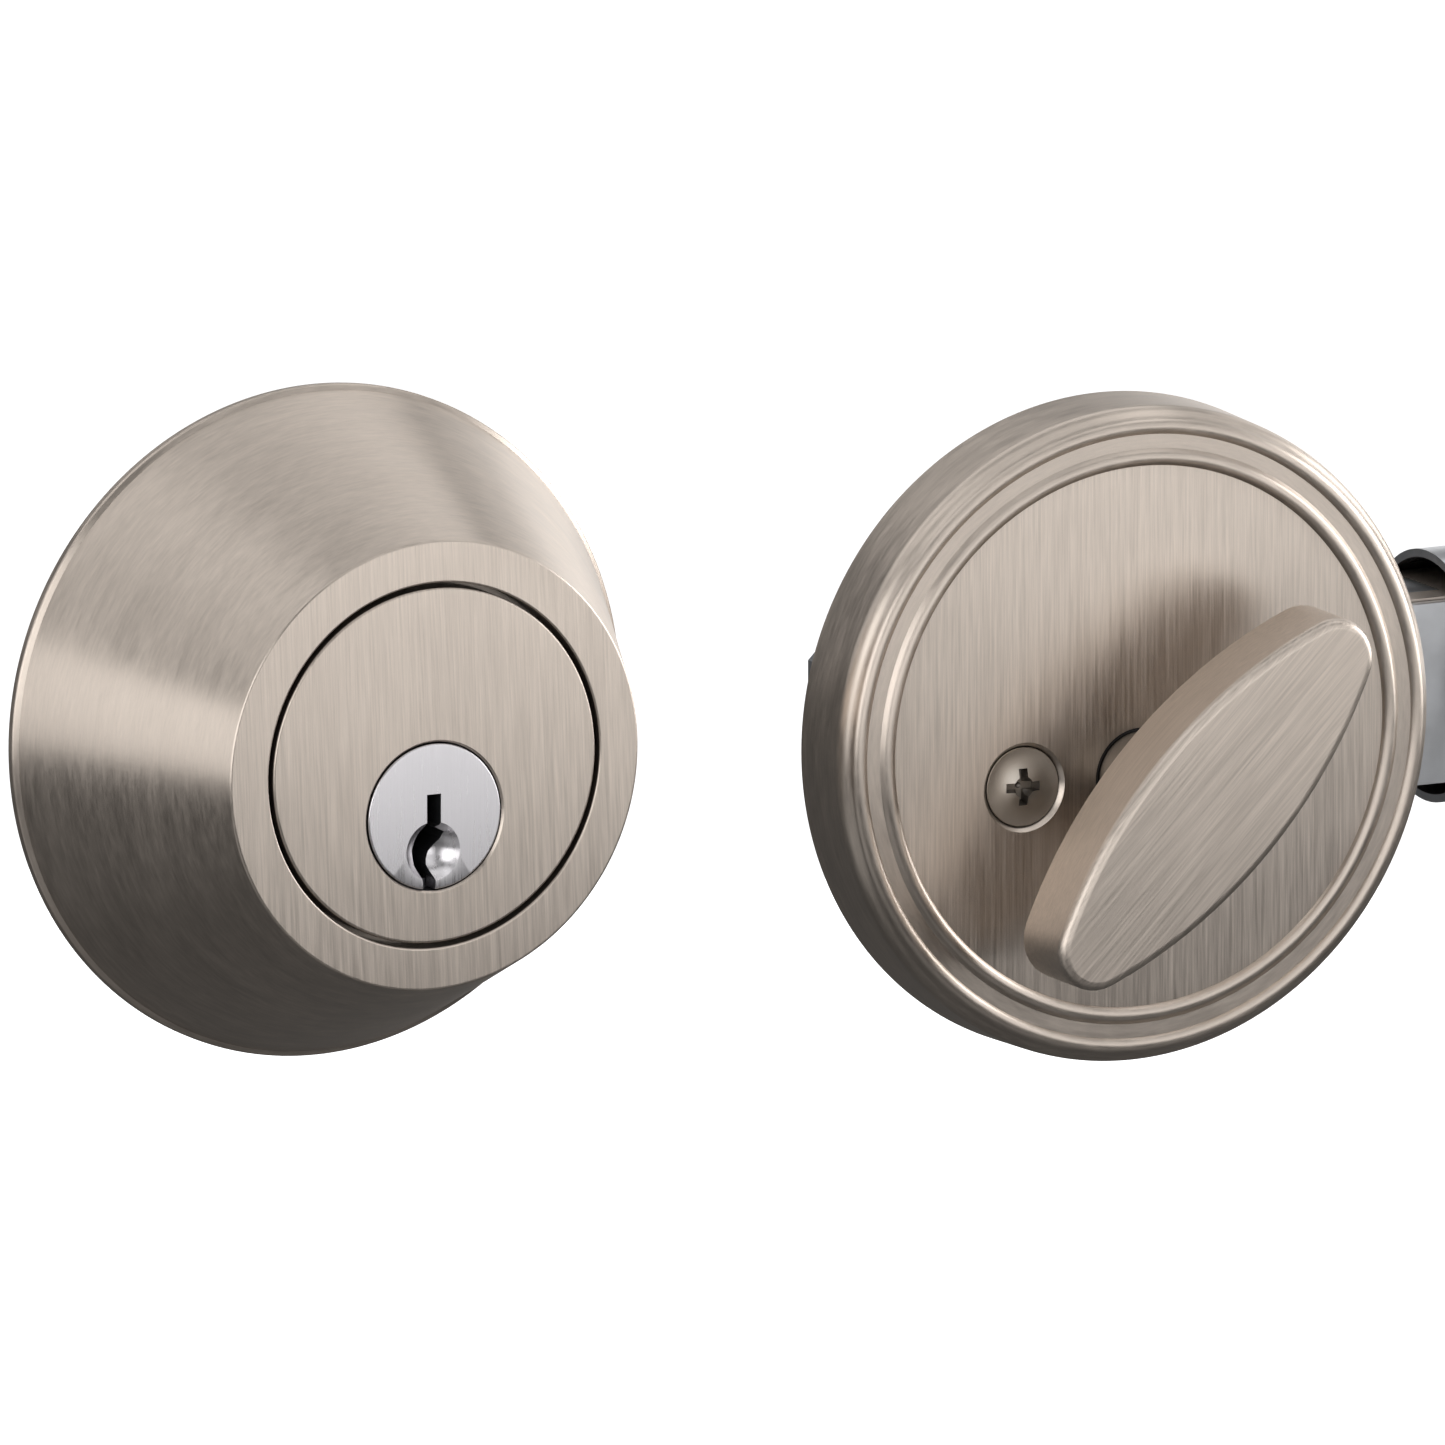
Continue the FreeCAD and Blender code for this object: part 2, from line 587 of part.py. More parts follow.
def thumbturn():
    half_length, half_width = dim("blade_length") / 2, dim("blade_width") / 2
    tip = DRIVING["blade_tip_radius"]
    reach = half_length.value - tip
    # the side arc and the tip arc touch where their radii line up
    side = (reach**2 + half_width.value**2 - tip**2) / (2 * (half_width.value - tip))
    front, thick = dim("blade_front"), dim("blade_thick")
    sides = [
        cylinder(f"blade_side_{i}", "Y", side, -front, -front + thick,
                 (sign * (side - half_width.value), 0.0))
        for i, sign in enumerate((-1.0, 1.0))
    ]
    lens = doc.addObject("Part::MultiCommon", "blade_lens")
    lens.Shapes = sides
    doc.recompute()
    tips = [
        (number, tip, tip)
        for number, edge in enumerate(lens.Shape.Edges, start=1)
        if len(edge.Vertexes) == 2 and abs(edge.tangentAt(edge.FirstParameter).y) > 0.99
    ]
    rounded = doc.addObject("Part::Fillet", "blade_tips")
    rounded.Base, rounded.Edges = lens, tips
    doc.recompute()
    edge_round = DRIVING["blade_edge_round"]
    rim = [
        (number, edge_round, edge_round)
        for number, edge in enumerate(rounded.Shape.Edges, start=1)
        if abs(edge.BoundBox.YMax + front.value) < 1e-6
    ]
    blade = doc.addObject("Part::Fillet", "blade")
    blade.Base, blade.Edges = rounded, rim
    blade_back = thick - front
    neck = cone("neck", "Y", dim("neck_top_radius"), dim("neck_radius"), blade_back - 0.5,
                -dim("neck_front"))
    hub = cylinder("hub", "Y", dim("hub_radius"), -dim("neck_front"), -dim("hub_end"))
    groove_span = (-dim("clip_front"), dim("clip_thick") - dim("clip_front"))
    groove = cut("clip_groove", cylinder("groove_outer", "Y", dim("hub_radius") + 1.0, *groove_span),
                 cylinder("groove_core", "Y", dim("clip_groove_radius"), *groove_span))
    gap = dim("torque_gap") / 2
    socket = box("torque_socket", both_ways(dim("torque_width") / 2 + gap),
                 (-dim("torque_socket"), -dim("hub_end")), both_ways(dim("torque_height") / 2 + gap))
    turn = cut("turn", fuse("turn_solid", blade, neck, hub), groove, socket)
    keep("thumbturn", turn, turn=dim("lean_angle"))


def thumbturn_fittings():
    disc, wall = dim("rose_disc"), dim("rose_wall")
    inner = dim("hub_radius") + dim("bushing_gap")
    outer = dim("hub_hole_radius") - 0.05
    flange_front = wall - disc + 0.1
    bushing = revolved("bushing", [
        (inner, 0.1 - disc),
        (outer, 0.1 - disc),
        (outer, flange_front),
        (dim("bushing_flange_radius"), flange_front),
        (dim("bushing_flange_radius"), flange_front + 1.0),
        (outer, flange_front + 1.0),
        (outer, -dim("bushing_back")),
        (inner, -dim("bushing_back")),
    ])
    keep("thumbturn_bushing", bushing)
    washer_span = (-dim("washer_front"), dim("washer_thick") - dim("washer_front"))
    washer = cut("washer", cylinder("washer_outer", "Y", dim("washer_outer_radius"), *washer_span),
                 cylinder("washer_hole", "Y", dim("washer_inner_radius"), *washer_span))
    keep("wave_washer", washer)
    clip_span = (-dim("clip_front"), dim("clip_thick") - dim("clip_front"))
    mouth = box("clip_mouth", both_ways(dim("clip_opening") / 2), clip_span,
                (0.0, dim("clip_radius") + 1.0))
    clip = cut("clip", cylinder("clip_outer", "Y", dim("clip_radius"), *clip_span),
               cylinder("clip_hole", "Y", dim("clip_groove_radius"), *clip_span), mouth)
    keep("retaining_clip", clip, turn=dim("lean_angle"))
    blade = box("torque_bar", both_ways(dim("torque_width") / 2),
                (-dim("torque_front"), dim("torque_back")), both_ways(dim("torque_height") / 2))
    keep("torque_blade", group("torque_bar_set", [blade]), turn=dim("lean_angle"))


def mounting_screws():
    head, front, shank = dim("screw_head_radius"), dim("screw_head_front"), dim("screw_radius")
    dome = dim("screw_dome")
    dome_radius = (head.value**2 + dome.value**2) / (2 * dome.value)
    screws = []
    for i, x in enumerate((-dim("post_spacing"), dim("post_spacing"))):
        blank = revolved(f"screw_blank_{i}", [
            (0.0, -front - dome),
            Arc(dome_radius, -1),
            (head, -front),
            (shank, head - shank - front),
            (shank, dim("screw_end") - 1.0),
            (shank - 1.0, dim("screw_end")),
            (0.0, dim("screw_end")),
        ])
        long_half, wide_half = dim("cross_length") / 2, dim("cross_width") / 2
        y_span = (-front - 1.0, dim("cross_depth") - front)
        arms = [
            box(f"cross_level_{i}", both_ways(long_half), y_span, both_ways(wide_half)),
            box(f"cross_upright_{i}", both_ways(wide_half), y_span, both_ways(long_half)),
        ]
        screw = cut(f"screw_{i}", blank, *arms)
        place(screw, x=x)
        screws.append(screw)
    keep("mounting_screws", group("screw_pair", screws))


# ---- bolt unit: local origin on the spindle's axis at the middle of the door ---------------

MIDDLE = {"y": dim("bolt_y")}


def bolt_travel():
    """How far the bolt stands out of mid throw at rest."""
    travel = (DRIVING["lean_angle"] - DRIVING["mid_angle"]) / 90.0 * DRIVING["throw"]
    formula = "((Sizes.lean_angle - Sizes.mid_angle) / 90.0 * Sizes.throw)"
    return Size(travel, formula)


def bolt_group():
    nose = dim("backset") + dim("throw") / 2
    rear = nose - dim("bolt_length")
    half_y, half_z, bevel = dim("bolt_thick") / 2, dim("bolt_height") / 2, dim("bolt_bevel")
    block = padded("bolt_block", "XY_Plane", [
        (rear, -half_y),
        (nose - bevel, -half_y),
        (nose, bevel - half_y),
        (nose, half_y - bevel),
        (nose - bevel, half_y),
        (rear, half_y),
    ], dim("bolt_height"), midplane=True)
    bore = cylinder("roller_bore", "X", dim("roller_bore_radius"), rear, rear + dim("bore_length"))
    gap = dim("tail_gap")
    pocket = box("tail_pocket", (rear, rear + dim("tail_root") + gap),
                 both_ways(dim("tail_half") + gap), (dim("tail_low") - gap, half_z))
    rivet_x = rear + dim("tail_root") / 2
    rivet_span = (dim("tail_low") - dim("rivet_depth"), dim("tail_high"))
    rivet_hole = cylinder("bolt_rivet_hole", "Z", dim("rivet_radius"), *rivet_span, (rivet_x, 0.0))
    slide = {"x": bolt_travel(), **MIDDLE}
    keep("bolt", cut("bolt_solid", block, bore, pocket, rivet_hole), **slide)
    plug = cylinder("roller_stop", "X", dim("roller_bore_radius"), 0.0, dim("roller_plug_length"))
    plug_set = group("roller_stop_set", [plug])
    keep("roller_plug", plug_set, bolt_travel() + rear, dim("bolt_y"))
    roller = cylinder("roller_rod", "X", dim("roller_radius"), 0.0, dim("roller_length"))
    keep("bolt_roller", group("roller_set", [roller]),
         bolt_travel() + rear + dim("roller_plug_length") + 0.3, dim("bolt_y"))
    end, low, high = dim("tail_end"), dim("tail_low"), dim("tail_high")
    bar = padded("tail_plate", "XZ_Plane", [
        (-end, low),
        (rear + dim("tail_root"), low),
        (rear + dim("tail_root"), high),
        (end, high),
        (end, dim("tail_top")),
        (-end, dim("tail_top")),
    ], dim("tail_half") * 2.0, midplane=True)
    fork = box("tail_fork_gap", (-end - 1.0, rear), both_ways(dim("tail_inner")),
               (low - 1.0, dim("tail_top") + 1.0))
    pin_hole = cylinder("tail_pin_hole", "Y", dim("drive_pin_radius"),
                        *both_ways(dim("tail_half") + 1.0), (0.0, dim("drive_height")))
    rivet_bore = cylinder("tail_rivet_hole", "Z", dim("rivet_radius"), *rivet_span, (rivet_x, 0.0))
    keep("tail_bar", cut("tail", bar, fork, pin_hole, rivet_bore), **slide)
    rivet = cylinder("tail_rivet_rod", "Z", dim("rivet_radius"), *rivet_span, (rivet_x, 0.0))
    keep("tail_rivet", group("tail_rivet_set", [rivet]), **slide)
    pin = cylinder("drive_pin", "Y", dim("drive_pin_radius"), *both_ways(dim("drive_pin_half")),
                   (0.0, dim("drive_height")))
    keep("tail_pin", group("drive_pin_set", [pin]), **slide)


def crank():
    hub = cylinder("crank_hub", "Y", dim("crank_hub_radius"), *both_ways(dim("hub_half")))
    journal = cylinder("crank_journal", "Y", dim("journal_radius"), *both_ways(dim("journal_half")))
    arm = box("crank_arm", both_ways(dim("arm_half_width")), both_ways(dim("arm_thick") / 2),
              (0.0, dim("arm_tip")))
    fork = box("crank_fork", both_ways(dim("fork_half_width")), both_ways(dim("arm_thick")),
               (dim("fork_floor"), dim("arm_tip") + 1.0))
    gap = dim("torque_gap") / 2
    slot = box("crank_slot", both_ways(dim("torque_width") / 2 + gap),
               both_ways(dim("journal_half") + 1.0), both_ways(dim("torque_height") / 2 + gap))
    slot_turned = group("crank_slot_turned", [slot])
    place(slot_turned, turn=dim("mid_angle"))
    solid = cut("crank_solid", fuse("crank_blank", hub, journal, arm), fork, slot_turned)
    keep("crank", solid, **MIDDLE, turn=dim("lean_angle") - dim("mid_angle"))


def case_plate(node, side):
    """One side plate of the case; side is -1 for the one nearer the interior half."""
    left, right, half = dim("case_left"), dim("case_right"), dim("case_half_height")
    corner, tongue, tongue_half = (
        dim("case_corner"), dim("tongue_end"), dim("tongue_half_height"))
    inner, thick = dim("case_half"), dim("case_plate_thick")
    # the sketch plane's normal points to -Y
    offset = inner if side < 0 else -inner - thick
    plate = padded(f"{node}_blank", "XZ_Plane", [
        (corner - left, -half),
        (right, -half),
        (right, -tongue_half),
        (tongue, -tongue_half),
        (tongue, tongue_half),
        (right, tongue_half),
        (right, half),
        (corner - left, half),
        (-left, half - corner),
        (-left, corner - half),
    ], thick, offset)
    span = (-inner - thick - 0.1, -inner + 0.1) if side < 0 else (inner - 0.1, inner + thick + 0.1)
    holes = [cylinder(f"{node}_hub_hole", "Y", dim("case_hub_hole_radius"), *span)]
    for i, x in enumerate((-dim("post_spacing"), dim("post_spacing"))):
        holes.append(cylinder(f"{node}_screw_hole_{i}", "Y", dim("screw_hole_radius"), *span,
                              (x, 0.0)))
    for i, place_xz in enumerate(CASE_RIVET_PLACES):
        holes.append(cylinder(f"{node}_rivet_hole_{i}", "Y", dim("case_rivet_radius"), *span,
                              place_xz))
    keep(node, cut(f"{node}_solid", plate, *holes), **MIDDLE)


def case_rivets():
    inner, thick = dim("case_half"), dim("case_plate_thick")
    shank, shoulder, head = (
        dim("case_rivet_radius"), dim("case_shoulder_radius"), dim("case_head_radius"))
    outer = inner + thick
    rivets = []
    for i, (x, z) in enumerate(CASE_RIVET_PLACES):
        rivet = revolved(f"case_rivet_{i}", [
            (0.0, -outer - dim("case_head_thick")),
            (head, -outer - dim("case_head_thick")),
            (head, -outer),
            (shank, -outer),
            (shank, -inner),
            (shoulder, -inner),
            (shoulder, inner),
            (shank, inner),
            (shank, outer),
            (head, outer),
            (head, outer + dim("case_head_thick")),
            (0.0, outer + dim("case_head_thick")),
        ])
        place(rivet, x=x, z=z)
        rivets.append(rivet)
    keep("case_rivets", group("case_rivet_set", rivets), **MIDDLE)


def bolt_sleeve():
    start = dim("sleeve_start")
    end = dim("backset") - dim("faceplate_thick") - dim("inner_plate_thick") - dim("plate_gap")
    tube = cylinder("sleeve_outer", "X", dim("sleeve_radius"), start, end)
    inside = cylinder("sleeve_inside", "X", dim("sleeve_radius") - dim("sleeve_wall"), start, end)
    keep("bolt_sleeve", cut("sleeve", tube, inside), **MIDDLE)


def plate_with_opening(name, front, thick):
    """A rounded plate across the door's edge with the bolt's opening and two screw holes."""
    half_y, half_z = dim("faceplate_width") / 2, dim("faceplate_height") / 2
    corner = dim("faceplate_corner")
    blank = padded(f"{name}_blank", "YZ_Plane", [
        (corner - half_y, -half_z),
        (half_y - corner, -half_z),
        Arc(corner, -1),
        (half_y, corner - half_z),
        (half_y, half_z - corner),
        Arc(corner, -1),
        (half_y - corner, half_z),
        (corner - half_y, half_z),
        Arc(corner, -1),
        (-half_y, half_z - corner),
        (-half_y, corner - half_z),
        Arc(corner, -1),
    ], thick, front - thick)
    gap = dim("opening_gap")
    opening = box(f"{name}_opening", (front - thick - 1.0, front + 1.0),
                  both_ways(dim("bolt_thick") / 2 + gap), both_ways(dim("bolt_height") / 2 + gap))
    holes = [
        cylinder(f"{name}_hole_{i}", "X", dim("wood_hole_radius"), front - thick - 1.0,
                 front + 1.0, (0.0, z))
        for i, z in enumerate((-dim("wood_screw_z"), dim("wood_screw_z")))
    ]
    return blank, [opening, *holes]


def face_plates():
    front, thick = dim("backset"), dim("faceplate_thick")
    blank, tools = plate_with_opening("face", front, thick)
    head, hole = dim("wood_screw_head_radius"), dim("wood_hole_radius")
    for i, z in enumerate((-dim("wood_screw_z"), dim("wood_screw_z"))):
        tools.append(cone(f"face_sink_{i}", "X", hole, head + 0.2,
                          front - (head + 0.2 - hole), front, (0.0, z)))
    keep("faceplate", cut("face", blank, *tools), **MIDDLE)
    inner_front = front - thick - dim("plate_gap")
    blank, tools = plate_with_opening("inner", inner_front, dim("inner_plate_thick"))
    keep("inner_plate", cut("inner_face", blank, *tools), **MIDDLE)


def faceplate_screws():
    head, shank = dim("wood_screw_head_radius"), dim("wood_screw_radius")
    front = dim("backset") - 0.1
    screws = []
    for i, z in enumerate((-dim("wood_screw_z"), dim("wood_screw_z"))):
        across = (0.0, z)
        end = front - dim("wood_screw_length")
        rod = cylinder(f"wood_shank_{i}", "X", shank, end + 3.0, front - 1.0, across)
        point = cone(f"wood_point_{i}", "X", 0.4, shank, end, end + 3.0, across)
        top = cone(f"wood_head_{i}", "X", shank, head, front - (head - shank), front, across)
        long_half, wide_half = dim("cross_length") / 2, dim("cross_width") / 2
        x_span = (front - dim("cross_depth"), front + 0.5)
        level = box(f"wood_cross_level_{i}", x_span, both_ways(long_half),
                    (-wide_half + z, wide_half + z))
        upright = box(f"wood_cross_upright_{i}", x_span, both_ways(wide_half),
                      (-long_half + z, long_half + z))
        screws.append(cut(f"wood_screw_{i}", fuse(f"wood_solid_{i}", rod, point, top),
                          level, upright))
    keep("faceplate_screws", group("wood_screw_pair", screws), **MIDDLE)


def check_and_write():
    doc.recompute()
    faults = [o.Name for o in doc.Objects if {"Invalid", "Error"} & set(o.State)]
    for node, obj in parts.items():
        if obj.Shape.isNull() or not obj.Shape.isValid() or obj.Shape.Volume <= 0:
            faults.append(node)
    if faults:
        raise RuntimeError(f"these objects failed: {faults}")
    os.makedirs("parts", exist_ok=True)
    for node, obj in parts.items():
        obj.Shape.exportStep(f"parts/{node}.step")


cylinder_collar()
security_liner()
cylinder_housing()
key_plug()
tumblers()
plug_cap_and_cam()
interior_rose()
mounting_plate()
thumbturn()
thumbturn_fittings()
mounting_screws()
bolt_group()
crank()
case_plate("case_plate_near", -1)
case_plate("case_plate_far", 1)
case_rivets()
bolt_sleeve()
face_plates()
faceplate_screws()
check_and_write()
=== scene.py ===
"""Deadbolt door lock: the visual model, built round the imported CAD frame. Metres."""

import json
import math

import bmesh
import bpy
from mathutils import Matrix, Vector


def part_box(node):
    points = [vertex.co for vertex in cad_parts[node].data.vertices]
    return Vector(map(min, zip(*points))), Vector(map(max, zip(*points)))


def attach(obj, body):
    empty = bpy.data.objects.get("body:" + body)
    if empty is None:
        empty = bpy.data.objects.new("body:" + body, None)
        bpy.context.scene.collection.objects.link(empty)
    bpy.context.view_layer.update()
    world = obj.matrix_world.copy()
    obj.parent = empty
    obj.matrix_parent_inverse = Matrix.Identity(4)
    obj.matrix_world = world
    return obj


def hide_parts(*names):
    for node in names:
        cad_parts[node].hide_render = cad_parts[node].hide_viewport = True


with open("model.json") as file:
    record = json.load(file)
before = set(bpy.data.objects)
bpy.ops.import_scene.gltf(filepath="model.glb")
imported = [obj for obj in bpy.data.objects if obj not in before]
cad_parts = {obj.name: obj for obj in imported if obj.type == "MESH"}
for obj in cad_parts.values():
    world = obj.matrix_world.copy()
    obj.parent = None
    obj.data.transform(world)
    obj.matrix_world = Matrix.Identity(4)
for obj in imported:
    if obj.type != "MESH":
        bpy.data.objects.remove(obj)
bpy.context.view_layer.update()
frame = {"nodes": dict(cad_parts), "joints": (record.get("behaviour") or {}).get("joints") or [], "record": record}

MM = 0.001
SEGMENTS = 224

# ---- places read from the frame ---------------------------------------------------------

JOINTS = {joint["name"]: joint for joint in frame["joints"]}
PLUG_AXIS = Vector(JOINTS["plug_turn"]["pos_m"])
COLLAR_AXIS = Vector(JOINTS["collar_spin"]["pos_m"])
TURN_AXIS = Vector(JOINTS["thumbturn_turn"]["pos_m"])
LEAN = -math.radians(JOINTS["thumbturn_turn"]["range_deg"][0])


def middle(node):
    low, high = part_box(node)
    return (low + high) / 2


ROSE_AXIS = Vector((middle("interior_rose").x, 0.0, middle("interior_rose").z))
SCREW_HEAD_RADIUS = 3.95 * MM
SCREW_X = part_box("mounting_screws")[1].x - SCREW_HEAD_RADIUS


# ---- meshes -----------------------------------------------------------------------------


def new_object(name, mesh, place=(0.0, 0.0, 0.0)):
    obj = bpy.data.objects.new(name, mesh)
    bpy.context.scene.collection.objects.link(obj)
    obj.location = place
    return obj


def finish_shading(obj, angle=32.0):
    """Smooth shading, crisp at edges over the angle, with large flats kept truly flat."""
    obj.data.polygons.foreach_set("use_smooth", [True] * len(obj.data.polygons))
    obj.data.set_sharp_from_angle(angle=math.radians(angle))
    weighted = obj.modifiers.new("weighted", "WEIGHTED_NORMAL")
    weighted.keep_sharp, weighted.weight = True, 80


def ring(bm, radius, y, segments):
    if radius < 1e-7:
        return [bm.verts.new((0.0, y, 0.0))]
    return [
        bm.verts.new((radius * math.cos(t), y, radius * math.sin(t)))
        for t in (2 * math.pi * k / segments for k in range(segments))
    ]


def bridge(bm, first, second):
    """Faces between two rings, where either may be a single point."""
    count = max(len(first), len(second))
    if count == 1:
        return
    for k in range(count):
        a, b = first[k % len(first)], first[(k + 1) % len(first)]
        c, d = second[(k + 1) % len(second)], second[k % len(second)]
        corners = []
        for vert in (a, b, c, d):
            if vert not in corners:
                corners.append(vert)
        bm.faces.new(corners)


def finish_mesh(bm, name):
    """The mesh of a closed bmesh, with its faces turned outwards."""
    bmesh.ops.recalc_face_normals(bm, faces=bm.faces)
    mesh = bpy.data.meshes.new(name)
    bm.to_mesh(mesh)
    bm.free()
    return mesh


def lathe(name, outline, place=(0.0, 0.0, 0.0), segments=SEGMENTS):
    """A closed solid turned about the Y axis from (radius, y) points in millimetres."""
    bm = bmesh.new()
    rings = [ring(bm, radius * MM, y * MM, segments) for radius, y in outline]
    for first, second in zip(rings, rings[1:]):
        bridge(bm, first, second)
    if len(rings[0]) > 1 and len(rings[-1]) > 1:
        bridge(bm, rings[-1], rings[0])
    return new_object(name, finish_mesh(bm, name), place)


def arc(start, end, rise, steps=8):
    """Points after start, up to end, on the arc that stands rise off the chord, to its left."""
    (u0, v0), (u1, v1) = start, end
    chord = math.hypot(u1 - u0, v1 - v0)
    radius = (chord**2 / 4 + rise**2) / (2 * abs(rise))
    left = (-(v1 - v0) / chord, (u1 - u0) / chord)
    side = math.copysign(1.0, rise)
    back = side * (abs(rise) - radius)
    centre = ((u0 + u1) / 2 + left[0] * back, (v0 + v1) / 2 + left[1] * back)
    a0 = math.atan2(v0 - centre[1], u0 - centre[0])
    sweep = 2 * math.asin(min(chord / 2 / radius, 1.0))
    if abs(rise) > radius:
        sweep = 2 * math.pi - sweep
    sweep *= -side
    return [
        (centre[0] + radius * math.cos(a0 + sweep * k / steps),
         centre[1] + radius * math.sin(a0 + sweep * k / steps))
        for k in range(1, steps + 1)
    ]


def fillet(before, corner, after, radius, steps=5):
    """Points that round a corner of an outline with a circular arc."""
    corner_v, before_v, after_v = (Vector((*p, 0.0)) for p in (corner, before, after))
    to_before, to_after = (before_v - corner_v).normalized(), (after_v - corner_v).normalized()
    half = to_before.angle(to_after) / 2
    reach = radius / math.tan(half)
    start, end = corner_v + to_before * reach, corner_v + to_after * reach
    centre = corner_v + (to_before + to_after).normalized() * (radius / math.sin(half))
    spokes = (start - centre).normalized(), (end - centre).normalized()
    points = []
    for k in range(steps + 1):
        point = centre + radius * spokes[0].slerp(spokes[1], k / steps)
        points.append((point.x, point.y))
    return points


def rounded(outline, radii):
    """An outline with the corners that radii names by index rounded off."""
    points = []
    for k, corner in enumerate(outline):
        if k in radii:
            points += fillet(outline[k - 1], corner, outline[(k + 1) % len(outline)], radii[k])
        else:
            points.append(corner)
    return points


def prism(name, outline, y_front, y_back, place=(0.0, 0.0, 0.0)):
    """A closed solid with an (x, z) outline in millimetres, from y_front to y_back."""
    bm = bmesh.new()
    front = [bm.verts.new((x * MM, y_front * MM, z * MM)) for x, z in outline]
    back = [bm.verts.new((x * MM, y_back * MM, z * MM)) for x, z in outline]
    bm.faces.new(front)
    bm.faces.new(back[::-1])
    bridge(bm, front, back)
    return new_object(name, finish_mesh(bm, name), place)


def apply_modifiers(obj):
    bpy.context.view_layer.update()
    graph = bpy.context.evaluated_depsgraph_get()
    mesh = bpy.data.meshes.new_from_object(obj.evaluated_get(graph))
    obj.modifiers.clear()
    obj.data = mesh


def carve(obj, cutters, operation="DIFFERENCE"):
    """Subtract, or join, other closed objects, which are then removed."""
    for cutter in cutters:
        modifier = obj.modifiers.new("carve", "BOOLEAN")
        modifier.operation, modifier.solver, modifier.object = operation, "EXACT", cutter
        apply_modifiers(obj)
        bpy.data.objects.remove(cutter)


def clean(obj, distance=2e-7):
    """Merge doubled points and drop faces with no area."""
    bm = bmesh.new()
    bm.from_mesh(obj.data)
    bmesh.ops.remove_doubles(bm, verts=bm.verts, dist=distance)
    bmesh.ops.dissolve_degenerate(bm, edges=bm.edges, dist=distance)
    bm.to_mesh(obj.data)
    bm.free()


def flat_uv(obj):
    """A map with u across the vertical brush lines, for the tangent of the highlights."""
    layer = obj.data.uv_layers.new(name="across")
    for loop in obj.data.loops:
        point = obj.data.vertices[loop.vertex_index].co
        layer.data[loop.index].uv = (point.x * 10.0, point.z * 10.0)


# ---- materials --------------------------------------------------------------------------


class Nodes:
    """A small helper that adds and links shader nodes."""

    def __init__(self, name):
        self.material = bpy.data.materials.new(name)
        self.material.use_nodes = True
        self.tree = self.material.node_tree
        self.tree.nodes.clear()
        self.output = self.add("ShaderNodeOutputMaterial")
        self.shader = self.add("ShaderNodeBsdfPrincipled")
        self.link(self.shader.outputs["BSDF"], self.output.inputs["Surface"])

    def add(self, kind, **settings):
        node = self.tree.nodes.new(kind)
        for key, value in settings.items():
            setattr(node, key, value)
        return node

    def link(self, source, target):
        self.tree.links.new(source, target)

    def math(self, operation, first, second=None):
        node = self.add("ShaderNodeMath", operation=operation)
        for slot, value in enumerate((first, second)):
            if value is None:
                continue
            if isinstance(value, (int, float)):
                node.inputs[slot].default_value = value
            else:
                self.link(value, node.inputs[slot])
        return node.outputs[0]

    def vector(self, operation, first, second=None, output=0):
        node = self.add("ShaderNodeVectorMath", operation=operation)
        for slot, value in enumerate((first, second)):
            if value is None:
                continue
            if isinstance(value, (tuple, list)):
                node.inputs[slot].default_value = value
            else:
                self.link(value, node.inputs[slot])
        return node.outputs[output]

    def noise(self, vector, scale=1.0, detail=3.0, roughness=0.6, w=None):
        node = self.add("ShaderNodeTexNoise", noise_dimensions="4D" if w is not None else "3D")
        self.link(vector, node.inputs["Vector"])
        if w is not None:
            self.link(w, node.inputs["W"])
        node.inputs["Scale"].default_value = scale
        node.inputs["Detail"].default_value = detail
        node.inputs["Roughness"].default_value = roughness
        return node.outputs["Fac"]

    def remap(self, value, low, high, new_low, new_high):
        node = self.add("ShaderNodeMapRange")
        self.link(value, node.inputs["Value"])
        for key, number in (("From Min", low), ("From Max", high),
                            ("To Min", new_low), ("To Max", new_high)):
            node.inputs[key].default_value = number
        return node.outputs["Result"]

    def mix(self, factor, first, second):
        """A colour mixed by a factor between two plain colours."""
        node = self.add("ShaderNodeMix", data_type="RGBA")
        self.link(factor, node.inputs["Factor"])
        for slot, colour in ((6, first), (7, second)):
            if isinstance(colour, tuple):
                node.inputs[slot].default_value = (*colour, 1.0)
            else:
                self.link(colour, node.inputs[slot])
        return node.outputs[2]

    def bump(self, height, distance, strength, normal=None):
        node = self.add("ShaderNodeBump")
        node.inputs["Distance"].default_value = distance
        node.inputs["Strength"].default_value = strength
        self.link(height, node.inputs["Height"])
        if normal is not None:
            self.link(normal, node.inputs["Normal"])
        return node.outputs["Normal"]


def shade(colour, amount):
    return tuple(min(1.0, c * amount) for c in colour)


